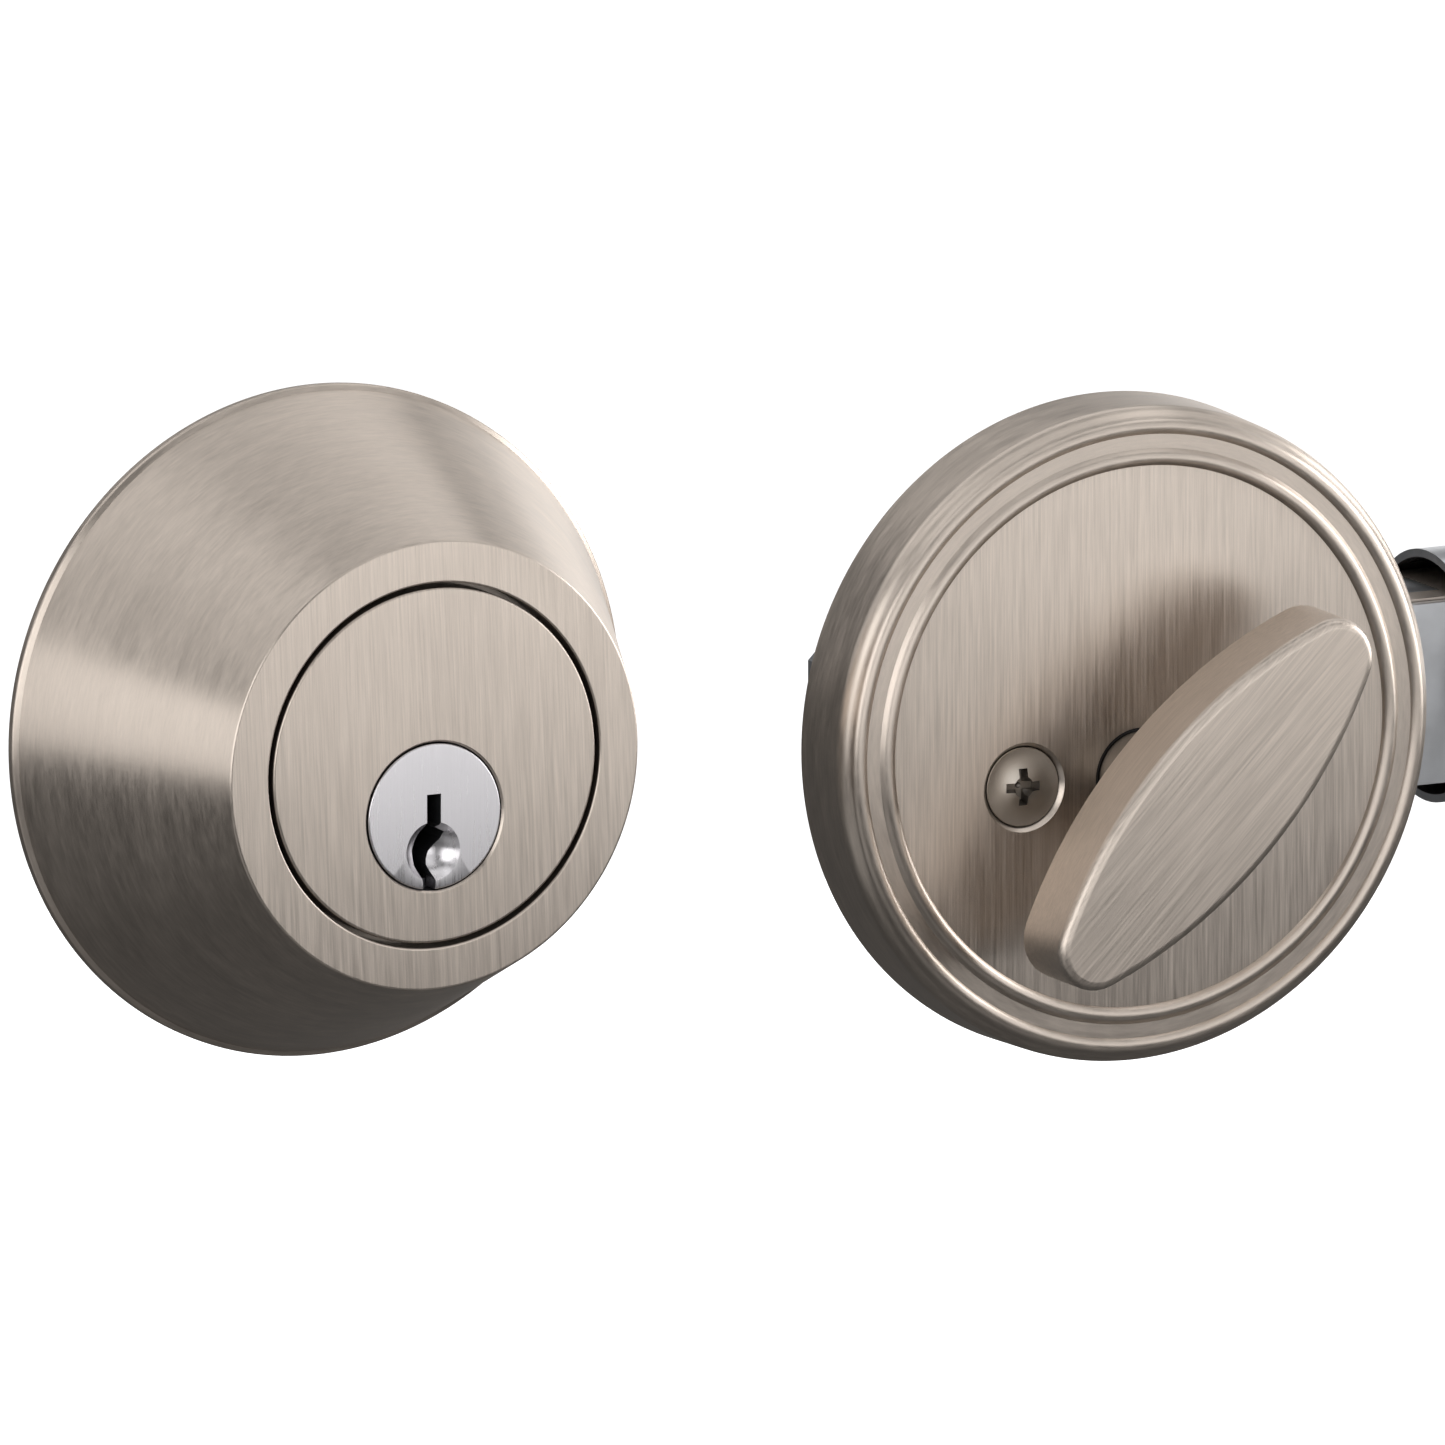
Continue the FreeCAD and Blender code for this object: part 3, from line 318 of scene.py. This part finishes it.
def lay_coordinates(nodes, lay, lean=0.0):
    """Two streak noises, fine and broad, that run along the lay of the brushing."""
    point = nodes.add("ShaderNodeTexCoord").outputs["Object"]
    if lay == "round":
        flat = nodes.vector("MULTIPLY", point, (1.0, 0.0, 1.0))
        radius = nodes.vector("LENGTH", flat, output=1)
        around = nodes.vector("NORMALIZE", flat)
        depth = nodes.vector("MULTIPLY", point, (0.0, 1.0, 0.0))
        fine = nodes.noise(
            nodes.vector("ADD", nodes.vector("MULTIPLY", around, (14.0, 0.0, 14.0)),
                         nodes.vector("MULTIPLY", depth, (0.0, 3400.0, 0.0))),
            detail=5.0, w=nodes.math("MULTIPLY", radius, 3400.0))
        broad = nodes.noise(
            nodes.vector("ADD", nodes.vector("MULTIPLY", around, (3.0, 0.0, 3.0)),
                         nodes.vector("MULTIPLY", depth, (0.0, 700.0, 0.0))),
            detail=3.0, w=nodes.math("MULTIPLY", radius, 700.0))
        return point, fine, broad
    mapping = nodes.add("ShaderNodeMapping", vector_type="POINT")
    mapping.inputs["Rotation"].default_value = (0.0, lean, 0.0)
    nodes.link(point, mapping.inputs["Vector"])
    straight = mapping.outputs["Vector"]
    fine = nodes.noise(nodes.vector("MULTIPLY", straight, (4800.0, 4800.0, 130.0)), detail=5.0)
    broad = nodes.noise(nodes.vector("MULTIPLY", straight, (2000.0, 2000.0, 60.0)), detail=4.0)
    return point, fine, broad


def brushed_metal(name, colour, roughness, lay="straight", anisotropy=0.6, lean=0.0,
                  contrast=0.10, bump=0.25, speckle=0.0):
    """Satin metal with brush lines, tone streaks and painted shade that darkens creases and gaps."""
    nodes = Nodes(name)
    shader = nodes.shader
    point, fine, broad = lay_coordinates(nodes, lay, lean)
    streak = nodes.math("ADD", nodes.math("MULTIPLY", fine, 0.6),
                        nodes.math("MULTIPLY", broad, 0.4))
    toned = nodes.mix(nodes.remap(streak, 0.36, 0.64, 0.0, 1.0),
                      shade(colour, 1.0 - contrast), shade(colour, 1.0 + contrast * 0.7))
    # Painted shade: ambient occlusion darkens the colour towards 0.42 of the metal's in creases, grooves and gaps
    # between parts.
    painted_shade_ao = nodes.add("ShaderNodeAmbientOcclusion", samples=4, only_local=False)
    painted_shade_ao.inputs["Distance"].default_value = 1.6 * MM
    painted_shade_colour = nodes.mix(nodes.remap(painted_shade_ao.outputs["AO"], 0.25, 0.85, 0.0, 1.0),
                       shade(colour, 0.42), toned)
    nodes.link(painted_shade_colour, shader.inputs["Base Color"])
    shader.inputs["Metallic"].default_value = 1.0
    rough = nodes.remap(streak, 0.35, 0.65, roughness - 0.05, roughness + 0.06)
    cloud = nodes.noise(point, scale=90.0, detail=2.0)
    nodes.link(nodes.math("ADD", rough, nodes.remap(cloud, 0.3, 0.7, -0.02, 0.02)),
               shader.inputs["Roughness"])
    grain = nodes.bump(fine, 0.012 * MM, bump)
    grain = nodes.bump(broad, 0.03 * MM, bump * 0.6, grain)
    if speckle:
        grit = nodes.noise(point, scale=5200.0, detail=2.0)
        grain = nodes.bump(grit, 0.012 * MM, speckle, grain)
    nodes.link(grain, shader.inputs["Normal"])
    if anisotropy:
        tangent = nodes.add("ShaderNodeTangent")
        shader.inputs["Anisotropic"].default_value = anisotropy
        if lay == "round":
            tangent.direction_type, tangent.axis = "RADIAL", "Y"
            shader.inputs["Anisotropic Rotation"].default_value = 0.25
        else:
            tangent.direction_type, tangent.uv_map = "UV_MAP", "across"
        nodes.link(tangent.outputs["Tangent"], shader.inputs["Tangent"])
    return nodes.material


def plain_metal(name, colour, roughness, grit=2600.0, bump=0.2, contrast=0.08, cloudy=0.05):
    """Cast, plated or hardened metal: a fine all-over grain, cloudy tone and painted shade in creases and gaps."""
    nodes = Nodes(name)
    shader = nodes.shader
    point = nodes.add("ShaderNodeTexCoord").outputs["Object"]
    grain = nodes.noise(point, scale=grit, detail=3.0)
    cloud = nodes.noise(point, scale=160.0, detail=3.0)
    toned = nodes.mix(nodes.remap(cloud, 0.35, 0.65, 0.0, 1.0),
                      shade(colour, 1.0 - contrast), shade(colour, 1.0 + contrast))
    # Painted shade: ambient occlusion darkens the colour towards half the metal's in creases and gaps between
    # parts.
    painted_shade_ao = nodes.add("ShaderNodeAmbientOcclusion", samples=4)
    painted_shade_ao.inputs["Distance"].default_value = 1.5 * MM
    painted_shade_colour = nodes.mix(nodes.remap(painted_shade_ao.outputs["AO"], 0.2, 0.9, 0.0, 1.0),
                       shade(colour, 0.5), toned)
    nodes.link(painted_shade_colour, shader.inputs["Base Color"])
    shader.inputs["Metallic"].default_value = 1.0
    nodes.link(nodes.remap(cloud, 0.3, 0.7, roughness - cloudy, roughness + cloudy),
               shader.inputs["Roughness"])
    nodes.link(nodes.bump(grain, 0.01 * MM, bump), shader.inputs["Normal"])
    return nodes.material


def moulded_plastic(name, colour):
    nodes = Nodes(name)
    shader = nodes.shader
    point = nodes.add("ShaderNodeTexCoord").outputs["Object"]
    grain = nodes.noise(point, scale=1800.0, detail=2.0)
    cloud = nodes.noise(point, scale=240.0, detail=2.0)
    nodes.link(nodes.mix(cloud, shade(colour, 0.94), colour), shader.inputs["Base Color"])
    nodes.link(nodes.remap(grain, 0.3, 0.7, 0.42, 0.56), shader.inputs["Roughness"])
    nodes.link(nodes.bump(grain, 0.01 * MM, 0.2), shader.inputs["Normal"])
    return nodes.material


NICKEL = (0.635, 0.558, 0.49)
PLUG_NICKEL = (0.74, 0.72, 0.74)
ZINC = (0.62, 0.63, 0.65)

straight_nickel = brushed_metal("nickel_straight", NICKEL, 0.36, "straight", 0.4,
                                contrast=0.20, bump=0.42, speckle=0.35)
leaning_nickel = brushed_metal("nickel_leaning", NICKEL, 0.36, "straight", 0.4,
                               lean=math.radians(2.5), contrast=0.20, bump=0.42, speckle=0.35)
round_nickel = brushed_metal("nickel_round", NICKEL, 0.34, "round", 0.55, contrast=0.13,
                             bump=0.3)
fine_nickel = brushed_metal("nickel_fine", NICKEL, 0.42, "straight", 0.0, contrast=0.12,
                            bump=0.2, speckle=0.8)
plug_metal = brushed_metal("plug_nickel", PLUG_NICKEL, 0.30, "straight", 0.3, contrast=0.05,
                           bump=0.12)
screw_metal = plain_metal("screw_nickel", (0.66, 0.60, 0.53), 0.40, grit=5200.0, bump=0.6)
# Painted shade: a dark copy of the nickel, put on the thumbturn's neck and inside the screws' cross recesses to
# stand for the shade there.
painted_shade_metal = plain_metal("painted_shade_nickel", (0.30, 0.27, 0.24), 0.45, grit=4200.0, bump=0.6)
slot_finish = {
    "satin_nickel": plain_metal("satin_nickel_plain", NICKEL, 0.36),
    "plug_nickel": plug_metal,
    "cast_zinc": plain_metal("cast_zinc", (0.46, 0.46, 0.47), 0.5, grit=1500.0, bump=0.5),
    "zinc_plated_steel": plain_metal("zinc_plate", ZINC, 0.3),
    "hardened_steel": plain_metal("hardened_steel", (0.25, 0.25, 0.27), 0.4),
    "turned_brass": plain_metal("turned_brass", (0.72, 0.54, 0.26), 0.28),
    "spring_steel": plain_metal("spring_steel", (0.48, 0.48, 0.50), 0.3),
    # Painted shade: the nylon is near-black, so the bushing round the thumbturn's neck merges with the shade
    # there.
    "nylon": moulded_plastic("nylon", (0.035, 0.034, 0.033)),
}


def dress(obj, materials, body, replaced):
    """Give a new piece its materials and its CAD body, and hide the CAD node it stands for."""
    obj.data.materials.clear()
    for material in materials:
        obj.data.materials.append(material)
    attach(obj, body)
    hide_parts(replaced)


def paint_faces(obj, test, index):
    """Give every face whose centre and normal pass the test another material."""
    for face in obj.data.polygons:
        if test(face.center / MM, face.normal):
            face.material_index = index


# ---- exterior half ----------------------------------------------------------------------


def make_collar():
    """Tapered collar: rolled back rim, long cone, crisp shoulder, flat ring, hollow back."""
    outline = rounded([
        (33.0, 0.0),
        (33.0, -0.9),
        (32.45, -1.25),
        (22.0, -25.8),
        (17.9, -25.8),
        (17.9, -23.2),
        (20.6, -23.2),
        (30.6, 0.0),
    ], {0: 0.15, 1: 0.3, 3: 0.32, 4: 0.22, 5: 0.2})
    collar = lathe("collar_shell", outline, COLLAR_AXIS)
    flat_uv(collar)
    dress(collar, [round_nickel, leaning_nickel], "collar", "cylinder_collar")
    paint_faces(collar, lambda c, n: n.y < -0.96 and c.y < -25.0, 1)
    finish_shading(collar)


def make_housing():
    """Front disc, retaining flange, body with its plug bore, pin tower slot and screw posts."""
    outline = rounded([
        (0.0, -25.8),
        (17.42, -25.8),
        (17.42, -22.8),
        (19.8, -22.8),
        (19.8, -20.8),
        (17.0, -20.8),
        (17.0, 3.0),
        (0.0, 3.0),
    ], {1: 0.28, 3: 0.2, 4: 0.2, 6: 0.4})
    housing = lathe("housing_body", outline, COLLAR_AXIS)
    posts, bores = [], []
    for side in (-1.0, 1.0):
        spot = PLUG_AXIS + Vector((side * SCREW_X, 0.0, 0.0))
        posts.append(lathe("post", rounded([(0.0, 1.0), (4.1, 1.0), (4.1, 14.0), (0.0, 14.0)],
                                           {2: 0.5}), spot, 64))
        bores.append(lathe("thread", thread_outline(2.1, -8.0, 15.0, 0.16, 0.8), spot, 48))
    carve(housing, posts, "UNION")
    bore = lathe("bore", [(0.0, -27.0), (7.6, -27.0), (7.6, -25.88), (7.3, -25.6), (7.3, -23.65),
                          (6.4, -23.65), (6.4, 4.0), (0.0, 4.0)], PLUG_AXIS, 160)
    slot = prism("slot", [(-2.2, 20.6), (2.2, 20.6), (2.2, 26.0), (-2.2, 26.0)],
                 -22.0, -2.1, PLUG_AXIS)
    carve(housing, [bore, slot, *bores])
    clean(housing)
    flat_uv(housing)
    dress(housing, [leaning_nickel, slot_finish["cast_zinc"], slot_finish["hardened_steel"]],
          "door_set", "cylinder_housing")
    paint_faces(housing, lambda c, n: c.y > -22.7, 1)
    # Painted shade: the bore walls round the plug take the dark hardened-steel finish, so the thin gap round the
    # plug reads dark.
    plug_z = (PLUG_AXIS - COLLAR_AXIS).z / MM
    paint_faces(housing, lambda c, n: math.hypot(c.x, c.z - plug_z) < 7.4
                and -25.4 < c.y < 2.0, 2)
    finish_shading(housing)


def thread_outline(radius, start, end, depth, pitch):
    """An outline along Y whose wall is a run of thread ridges."""
    points = [(0.0, start)]
    count = int((end - start) / pitch)
    for k in range(count):
        y = start + k * pitch
        points += [(radius, y), (radius - depth, y + pitch / 2)]
    points += [(radius, start + count * pitch), (0.0, start + count * pitch)]
    return points


def make_plug():
    """Key plug: face with keyway slot, dished key scoop and bevelled rim."""
    outline = rounded([
        (0.0, -25.8),
        (7.15, -25.8),
        (7.15, -23.8),
        (6.35, -23.8),
        (6.35, 2.8),
        (5.4, 2.8),
        (5.4, 6.0),
        (0.0, 6.0),
    ], {1: 0.2})
    plug = lathe("plug_core", outline, PLUG_AXIS, 160)
    keyway = [
        (-0.84, 2.2), (0.68, 2.2), (0.66, -0.95), (0.36, -1.15), (1.35, -1.7), (1.15, -2.5),
        (0.62, -3.1), (0.1, -3.7), (-0.2, -4.4), (-0.3, -4.9), (0.1, -6.1), (0.0, -7.6),
        (-1.2, -7.6), (-1.35, -6.0), (-1.83, -4.8), (-1.9, -3.3), (-1.35, -1.8), (-0.84, -0.9),
    ]
    slot = prism("keyway", keyway, -27.0, -4.0, PLUG_AXIS)
    dish = [(0.0, -26.6), (2.92, -26.6), (2.92, -25.83)]
    dish += arc((2.86, -25.78), (0.0, -24.1), -0.42, 10)
    scoop = lathe("scoop", dish, PLUG_AXIS + Vector((-0.18, 0.0, -3.4)) * MM, 96)
    carve(plug, [slot, scoop])
    clean(plug)
    flat_uv(plug)
    dress(plug, [plug_metal, slot_finish["hardened_steel"]], "plug_set", "key_plug")
    # Painted shade: the keyway walls take the dark hardened-steel finish, so the slot reads dark.
    paint_faces(plug, lambda c, n: abs(n.y) < 0.3 and math.hypot(c.x, c.z) < 6.0
                and c.y < -2.0, 1)
    finish_shading(plug)


# ---- interior half ----------------------------------------------------------------------


def make_rose():
    """Round rose: drafted side, rolled edge, two beads round a flat band, brushed disc."""
    outline = [(32.6, 0.0), (32.4, -6.7)]
    outline += arc((32.4, -6.7), (31.75, -8.0), 0.16)
    outline += [(31.45, -8.3)]
    outline += arc((31.45, -8.3), (29.85, -8.55), 0.50, 14)
    outline += [(29.7, -8.55), (28.45, -8.55)]
    outline += arc((28.35, -8.55), (26.75, -8.5), 0.50, 12)
    outline += [(26.6, -8.5), (0.0, -8.5), (0.0, -6.9), (30.7, -6.9), (30.9, -6.0), (31.0, 0.0)]
    rose = lathe("rose_shell", outline, ROSE_AXIS)
    bosses, sinks = [], []
    for side in (-1.0, 1.0):
        spot = TURN_AXIS + Vector((side * SCREW_X, 0.0, 0.0))
        bosses.append(lathe("boss", [(0.0, -7.3), (4.0, -7.3), (4.0, -1.65), (0.0, -1.65)],
                            spot, 64))
        sinks.append(lathe("sink", [(0.0, -9.8), (4.5, -9.8), (4.5, -8.58), (4.36, -8.4),
                                    (2.6, -6.6), (2.6, 0.0), (0.0, 0.0)], spot, 96))
    carve(rose, bosses, "UNION")
    hub = lathe("hub_hole", [(0.0, -9.8), (4.75, -9.8), (4.75, -6.0), (0.0, -6.0)], TURN_AXIS, 128)
    carve(rose, [hub, *sinks])
    clean(rose)
    flat_uv(rose)
    dress(rose, [round_nickel, straight_nickel], "door_set", "interior_rose")
    paint_faces(rose, lambda c, n: n.y < -0.99 and math.hypot(c.x, c.z) < 27.0, 1)
    finish_shading(rose)


def make_bushing():
    """Nylon bushing with a flange behind the rose and a soft lead-in."""
    outline = rounded([(4.36, -8.3), (4.7, -8.3), (4.7, -6.85), (7.4, -6.85), (7.4, -5.8),
                       (5.1, -5.8), (5.1, -4.2), (4.36, -4.2)], {0: 0.1, 3: 0.2, 4: 0.2, 6: 0.2})
    bushing = lathe("hub_bushing", outline, TURN_AXIS, 96)
    # Painted shade: the bushing takes the near-black nylon, so it reads as the shade round the neck.
    dress(bushing, [slot_finish["nylon"]], "door_set", "thumbturn_bushing")
    finish_shading(bushing)


def blade_outline(length, width, tip, steps=40):
    """Pointed oval in the blade's own plane, long axis up, with round tips."""
    reach = length / 2 - tip
    side = (reach**2 + (width / 2)**2 - tip**2) / (width - 2 * tip)
    swing = math.asin(reach / (side - tip))
    points = []
    for sign in (1.0, -1.0):
        centre_x = -sign * (side - width / 2)
        points += [
            (centre_x + sign * side * math.cos(swing * (2 * k / steps - 1)),
             sign * side * math.sin(swing * (2 * k / steps - 1)))
            for k in range(steps + 1)
        ]
        turn = math.pi - 2 * swing
        points += [
            (sign * tip * math.cos(swing + turn * k / 12),
             sign * (reach + tip * math.sin(swing + turn * k / 12)))
            for k in range(1, 12)
        ]
    return points


def make_thumbturn():
    """Oval blade with a soft front edge, on a flared neck."""
    front, thick, round_edge = 25.1, 8.2, 1.0
    outline = blade_outline(45.2, 15.8, 4.2)
    levels = [(0.25, -front + thick)]
    levels += [(0.0, -front + thick - 0.25), (0.0, -front + round_edge)]
    levels += [
        (round_edge * (1 - math.cos(t)), -front + round_edge * (1 - math.sin(t)))
        for t in (math.pi / 2 * k / 7 for k in range(1, 8))
    ]
    bm = bmesh.new()
    loops = []
    for inset, y in levels:
        loops.append([bm.verts.new((x * MM, y * MM, z * MM)) for x, z in shrunk(outline, inset)])
    for first, second in zip(loops, loops[1:]):
        bridge(bm, first, second)
    bm.faces.new(loops[-1])
    bm.faces.new(loops[0])
    blade = new_object("turn_blade", finish_mesh(bm, "turn_blade"), TURN_AXIS)
    hub = [(0.0, -17.3), (4.3, -17.3)]
    hub += arc((4.3, -16.9), (4.5, -8.9), -0.12, 8)
    hub += [(4.5, -8.8), (4.3, -8.8), (4.3, -3.6), (3.85, -3.6), (3.85, -2.8), (4.3, -2.8),
            (4.3, -2.45), (4.05, -2.2), (0.0, -2.2)]
    neck = lathe("neck", hub, TURN_AXIS, 96)
    carve(blade, [neck], "UNION")
    socket = prism("socket", [(-1.15, -3.25), (1.15, -3.25), (1.15, 3.25), (-1.15, 3.25)],
                   -10.0, -1.0, TURN_AXIS)
    carve(blade, [socket])
    clean(blade)
    flat_uv(blade)
    blade.rotation_euler = (0.0, LEAN, 0.0)
    dress(blade, [straight_nickel, fine_nickel, painted_shade_metal], "thumbturn_set", "thumbturn")
    paint_faces(blade, lambda c, n: abs(n.y) < 0.5 or c.y > -17.5, 1)
    # Painted shade: the neck takes the dark nickel, so it merges with the shade beside the blade.
    paint_faces(blade, lambda c, n: c.y > -16.85, 2)
    finish_shading(blade)


def shrunk(outline, inset):
    """An outline moved inwards along its own normals."""
    if not inset:
        return outline
    count = len(outline)
    moved = []
    for k, (x, z) in enumerate(outline):
        (x0, z0), (x1, z1) = outline[k - 1], outline[(k + 1) % count]
        tangent = Vector((x1 - x0, z1 - z0)).normalized()
        moved.append((x - tangent.y * inset, z + tangent.x * inset))
    return moved


def helix_rod(name, radius, start, end, depth, pitch, segments=40, rows=8):
    """A rod along Y with a true helical thread, from start to end in millimetres."""
    bm = bmesh.new()
    count = int((end - start) / pitch * rows)
    previous = None
    first = None
    for k in range(count + 1):
        y = start + (end - start) * k / count
        ease = min(1.0, k / rows, (count - k) / rows)
        loop = []
        for j in range(segments):
            phase = ((y - start) / pitch - j / segments) % 1.0
            ridge = depth * (1 - abs(2 * phase - 1)) * ease
            t = 2 * math.pi * j / segments
            r = (radius - depth + ridge) * MM
            loop.append(bm.verts.new((r * math.cos(t), y * MM, r * math.sin(t))))
        if previous:
            bridge(bm, previous, loop)
        first = first or loop
        previous = loop
    bm.faces.new(first)
    bm.faces.new(previous)
    return new_object(name, finish_mesh(bm, name))


def make_screws():
    """Two long machine screws: domed countersunk heads with a cross recess, helical threads."""
    for index, side in enumerate((-1.0, 1.0)):
        spot = TURN_AXIS + Vector((side * SCREW_X, 0.0, 0.0))
        head = [(0.0, -8.95)]
        head += arc((0.0, -8.95), (3.85, -8.2), 0.35, 14)
        head += [(3.92, -8.1), (2.4, -6.55), (2.4, -4.0), (0.0, -4.0)]
        screw = lathe(f"rose_screw_{index}", head, spot, 96)
        carve(screw, cross_cutters(spot))
        clean(screw)
        dress(screw, [screw_metal, painted_shade_metal], "door_set", "mounting_screws")
        # Painted shade: the faces inside the cross recess take the dark nickel.
        paint_faces(screw, lambda c, n: math.hypot(c.x, c.z) < 2.4 and c.y > -8.75
                    and n.y > -0.9 and c.y < -6.6, 1)
        finish_shading(screw, 40.0)
        shank = helix_rod(f"screw_thread_{index}", 2.4, -4.05, 32.5, 0.32, 1.06)
        shank.location = spot
        dress(shank, [slot_finish["zinc_plated_steel"]], "door_set", "mounting_screws")
        finish_shading(shank, 50.0)


def cross_cutters(spot):
    """Cutters for a tapering cross recess with a round middle."""
    cutters = []
    for turned in (False, True):
        arm = prism("arm", [(-2.4, -0.6), (2.4, -0.6), (2.4, 0.6), (-2.4, 0.6)],
                    -9.9, -7.1, spot)
        for vertex in arm.data.vertices:
            if vertex.co.y > -7.2 * MM:
                vertex.co.x *= 0.6
                vertex.co.z *= 0.62
        if turned:
            arm.data.transform(Matrix.Rotation(math.pi / 2, 4, "Y"))
        cutters.append(arm)
    cutters.append(lathe("middle", [(0.0, -9.9), (1.2, -9.9), (1.0, -7.8), (0.0, -6.8)],
                         spot, 32))
    return cutters


# ---- carried-over CAD nodes ---------------------------------------------------------------

SLOT_OF = {row["node"]: row["material_slot"] for row in frame["record"]["subparts"]}
BEVELLED = {"faceplate", "bolt", "inner_plate", "case_plate_near", "case_plate_far",
            "crank", "tail_bar", "torque_blade", "mounting_plate"}


def dress_frame():
    """Give every CAD node its finish, and the flat metal ones softer edges."""
    for name, node in frame["nodes"].items():
        node.data.materials.clear()
        node.data.materials.append(slot_finish[SLOT_OF[name]])
        if name in BEVELLED:
            bevel = node.modifiers.new("soft_edges", "BEVEL")
            bevel.width, bevel.segments = 0.18 * MM, 2
            bevel.limit_method, bevel.angle_limit = "ANGLE", math.radians(50)


# ---- studio -----------------------------------------------------------------------------

VIEW_AZIMUTH, VIEW_ELEVATION = math.radians(-27.45), math.radians(11.4)
VIEW_DISTANCE = 5.857
VIEW_TARGET = Vector((-0.03211, 0.0175, 0.0036))
LIT_CENTRE = (-0.04, -0.01, 0.005)
STRIP_X, STRIP_Y = 0.12, -0.20
WORLD_GREY = 0.083
FLOOR_HEIGHT, FLOOR_SIZE = -0.14, 40.0


def make_camera():
    """A long lens far off, because the lock is seen with hardly any perspective."""
    data = bpy.data.cameras.new("camera")
    data.lens, data.sensor_width = 1500.0, 36.0
    data.clip_start, data.clip_end = 1.0, 60.0
    camera = bpy.data.objects.new("camera", data)
    bpy.context.scene.collection.objects.link(camera)
    back = Vector((
        math.sin(VIEW_AZIMUTH) * math.cos(VIEW_ELEVATION),
        -math.cos(VIEW_AZIMUTH) * math.cos(VIEW_ELEVATION),
        math.sin(VIEW_ELEVATION),
    ))
    camera.location = VIEW_TARGET + back * VIEW_DISTANCE
    camera.rotation_euler = (-back).to_track_quat("-Z", "Y").to_euler()
    bpy.context.scene.camera = camera


def area_light(name, place, target, size, power):
    """A soft white rectangle that the camera does not see."""
    data = bpy.data.lights.new(name, "AREA")
    data.shape, data.size, data.size_y = "RECTANGLE", size[0], size[1]
    data.energy = power
    light = bpy.data.objects.new(name, data)
    bpy.context.scene.collection.objects.link(light)
    light.location = place
    light.rotation_euler = (Vector(target) - Vector(place)).to_track_quat("-Z", "Y").to_euler()
    light.visible_camera = False


PANELS = [
    # name, place, size across and up, watts
    ("right_panel", (0.60, -0.10, 0.10), (0.40, 0.40), 2.18),
    ("left_front_panel", (-0.55, -0.45, 0.15), (0.40, 0.50), 1.37),
    ("top_back_panel", (-0.04, 0.30, 0.45), (0.80, 0.30), 0.80),
    ("top_front_panel", (-0.04, -0.15, 0.50), (0.80, 0.30), 0.65),
    ("left_panel", (-0.60, -0.05, 0.05), (0.50, 0.25), 0.55),
    ("right_back_panel", (0.50, 0.30, 0.25), (0.30, 0.40), 0.35),
    ("top_right_panel", (0.40, -0.05, 0.42), (0.30, 0.50), 0.30),
    ("left_back_panel", (-0.50, 0.25, 0.30), (0.30, 0.40), 0.26),
    ("top_left_panel", (-0.40, -0.05, 0.40), (0.30, 0.50), 0.20),
    ("low_left_panel", (-0.50, -0.20, -0.30), (0.40, 0.25), 0.09),
    ("low_front_panel", (-0.04, -0.35, -0.40), (0.80, 0.25), 0.08),
    ("behind_panel", (0.30, 0.55, 0.00), (0.50, 0.40), 0.6),
]
STRIPS = [
    # name, height, size across and up, height aimed at, watts
    ("near_strip_low", 0.0, (0.45, 0.07), 0.0, 0.13),
    ("near_strip_middle", 0.07, (0.45, 0.07), 0.07, 0.07),
    ("near_strip_high", 0.155, (0.45, 0.10), 0.10, 0.11),
]


def make_studio():
    """Large soft panels all round, three near strips and a dim even grey."""
    for name, place, size, power in PANELS:
        area_light(name, place, LIT_CENTRE, size, power)
    for name, height, size, aim, power in STRIPS:
        area_light(name, (STRIP_X, STRIP_Y, height), (STRIP_X, 0.0, aim), size, power)
    world = bpy.data.worlds.new("studio")
    world.use_nodes = True
    bpy.context.scene.world = world
    background = world.node_tree.nodes["Background"]
    background.inputs["Color"].default_value = (WORLD_GREY, WORLD_GREY, WORLD_GREY, 1.0)
    background.inputs["Strength"].default_value = 1.0


def make_floor():
    """A wide pale floor, well below the lock."""
    bpy.ops.mesh.primitive_plane_add(size=FLOOR_SIZE, location=(0.0, 0.0, FLOOR_HEIGHT))
    floor = bpy.context.object
    floor.name = "floor"
    nodes = Nodes("pale_floor")
    point = nodes.add("ShaderNodeTexCoord").outputs["Object"]
    cloud = nodes.noise(point, scale=3.0, detail=2.0)
    nodes.link(nodes.mix(cloud, (0.93, 0.93, 0.93), (0.95, 0.95, 0.95)),
               nodes.shader.inputs["Base Color"])
    nodes.shader.inputs["Roughness"].default_value = 0.8
    nodes.shader.inputs["Emission Color"].default_value = (1.0, 1.0, 1.0, 1.0)
    nodes.shader.inputs["Emission Strength"].default_value = 1.0
    floor.data.materials.append(nodes.material)
    floor.visible_diffuse = False
    floor.visible_glossy = False


make_camera()
make_collar()
make_housing()
make_plug()
make_rose()
make_bushing()
make_thumbturn()
make_screws()
dress_frame()
make_studio()
make_floor()
bpy.context.scene.view_settings.view_transform = "Standard"
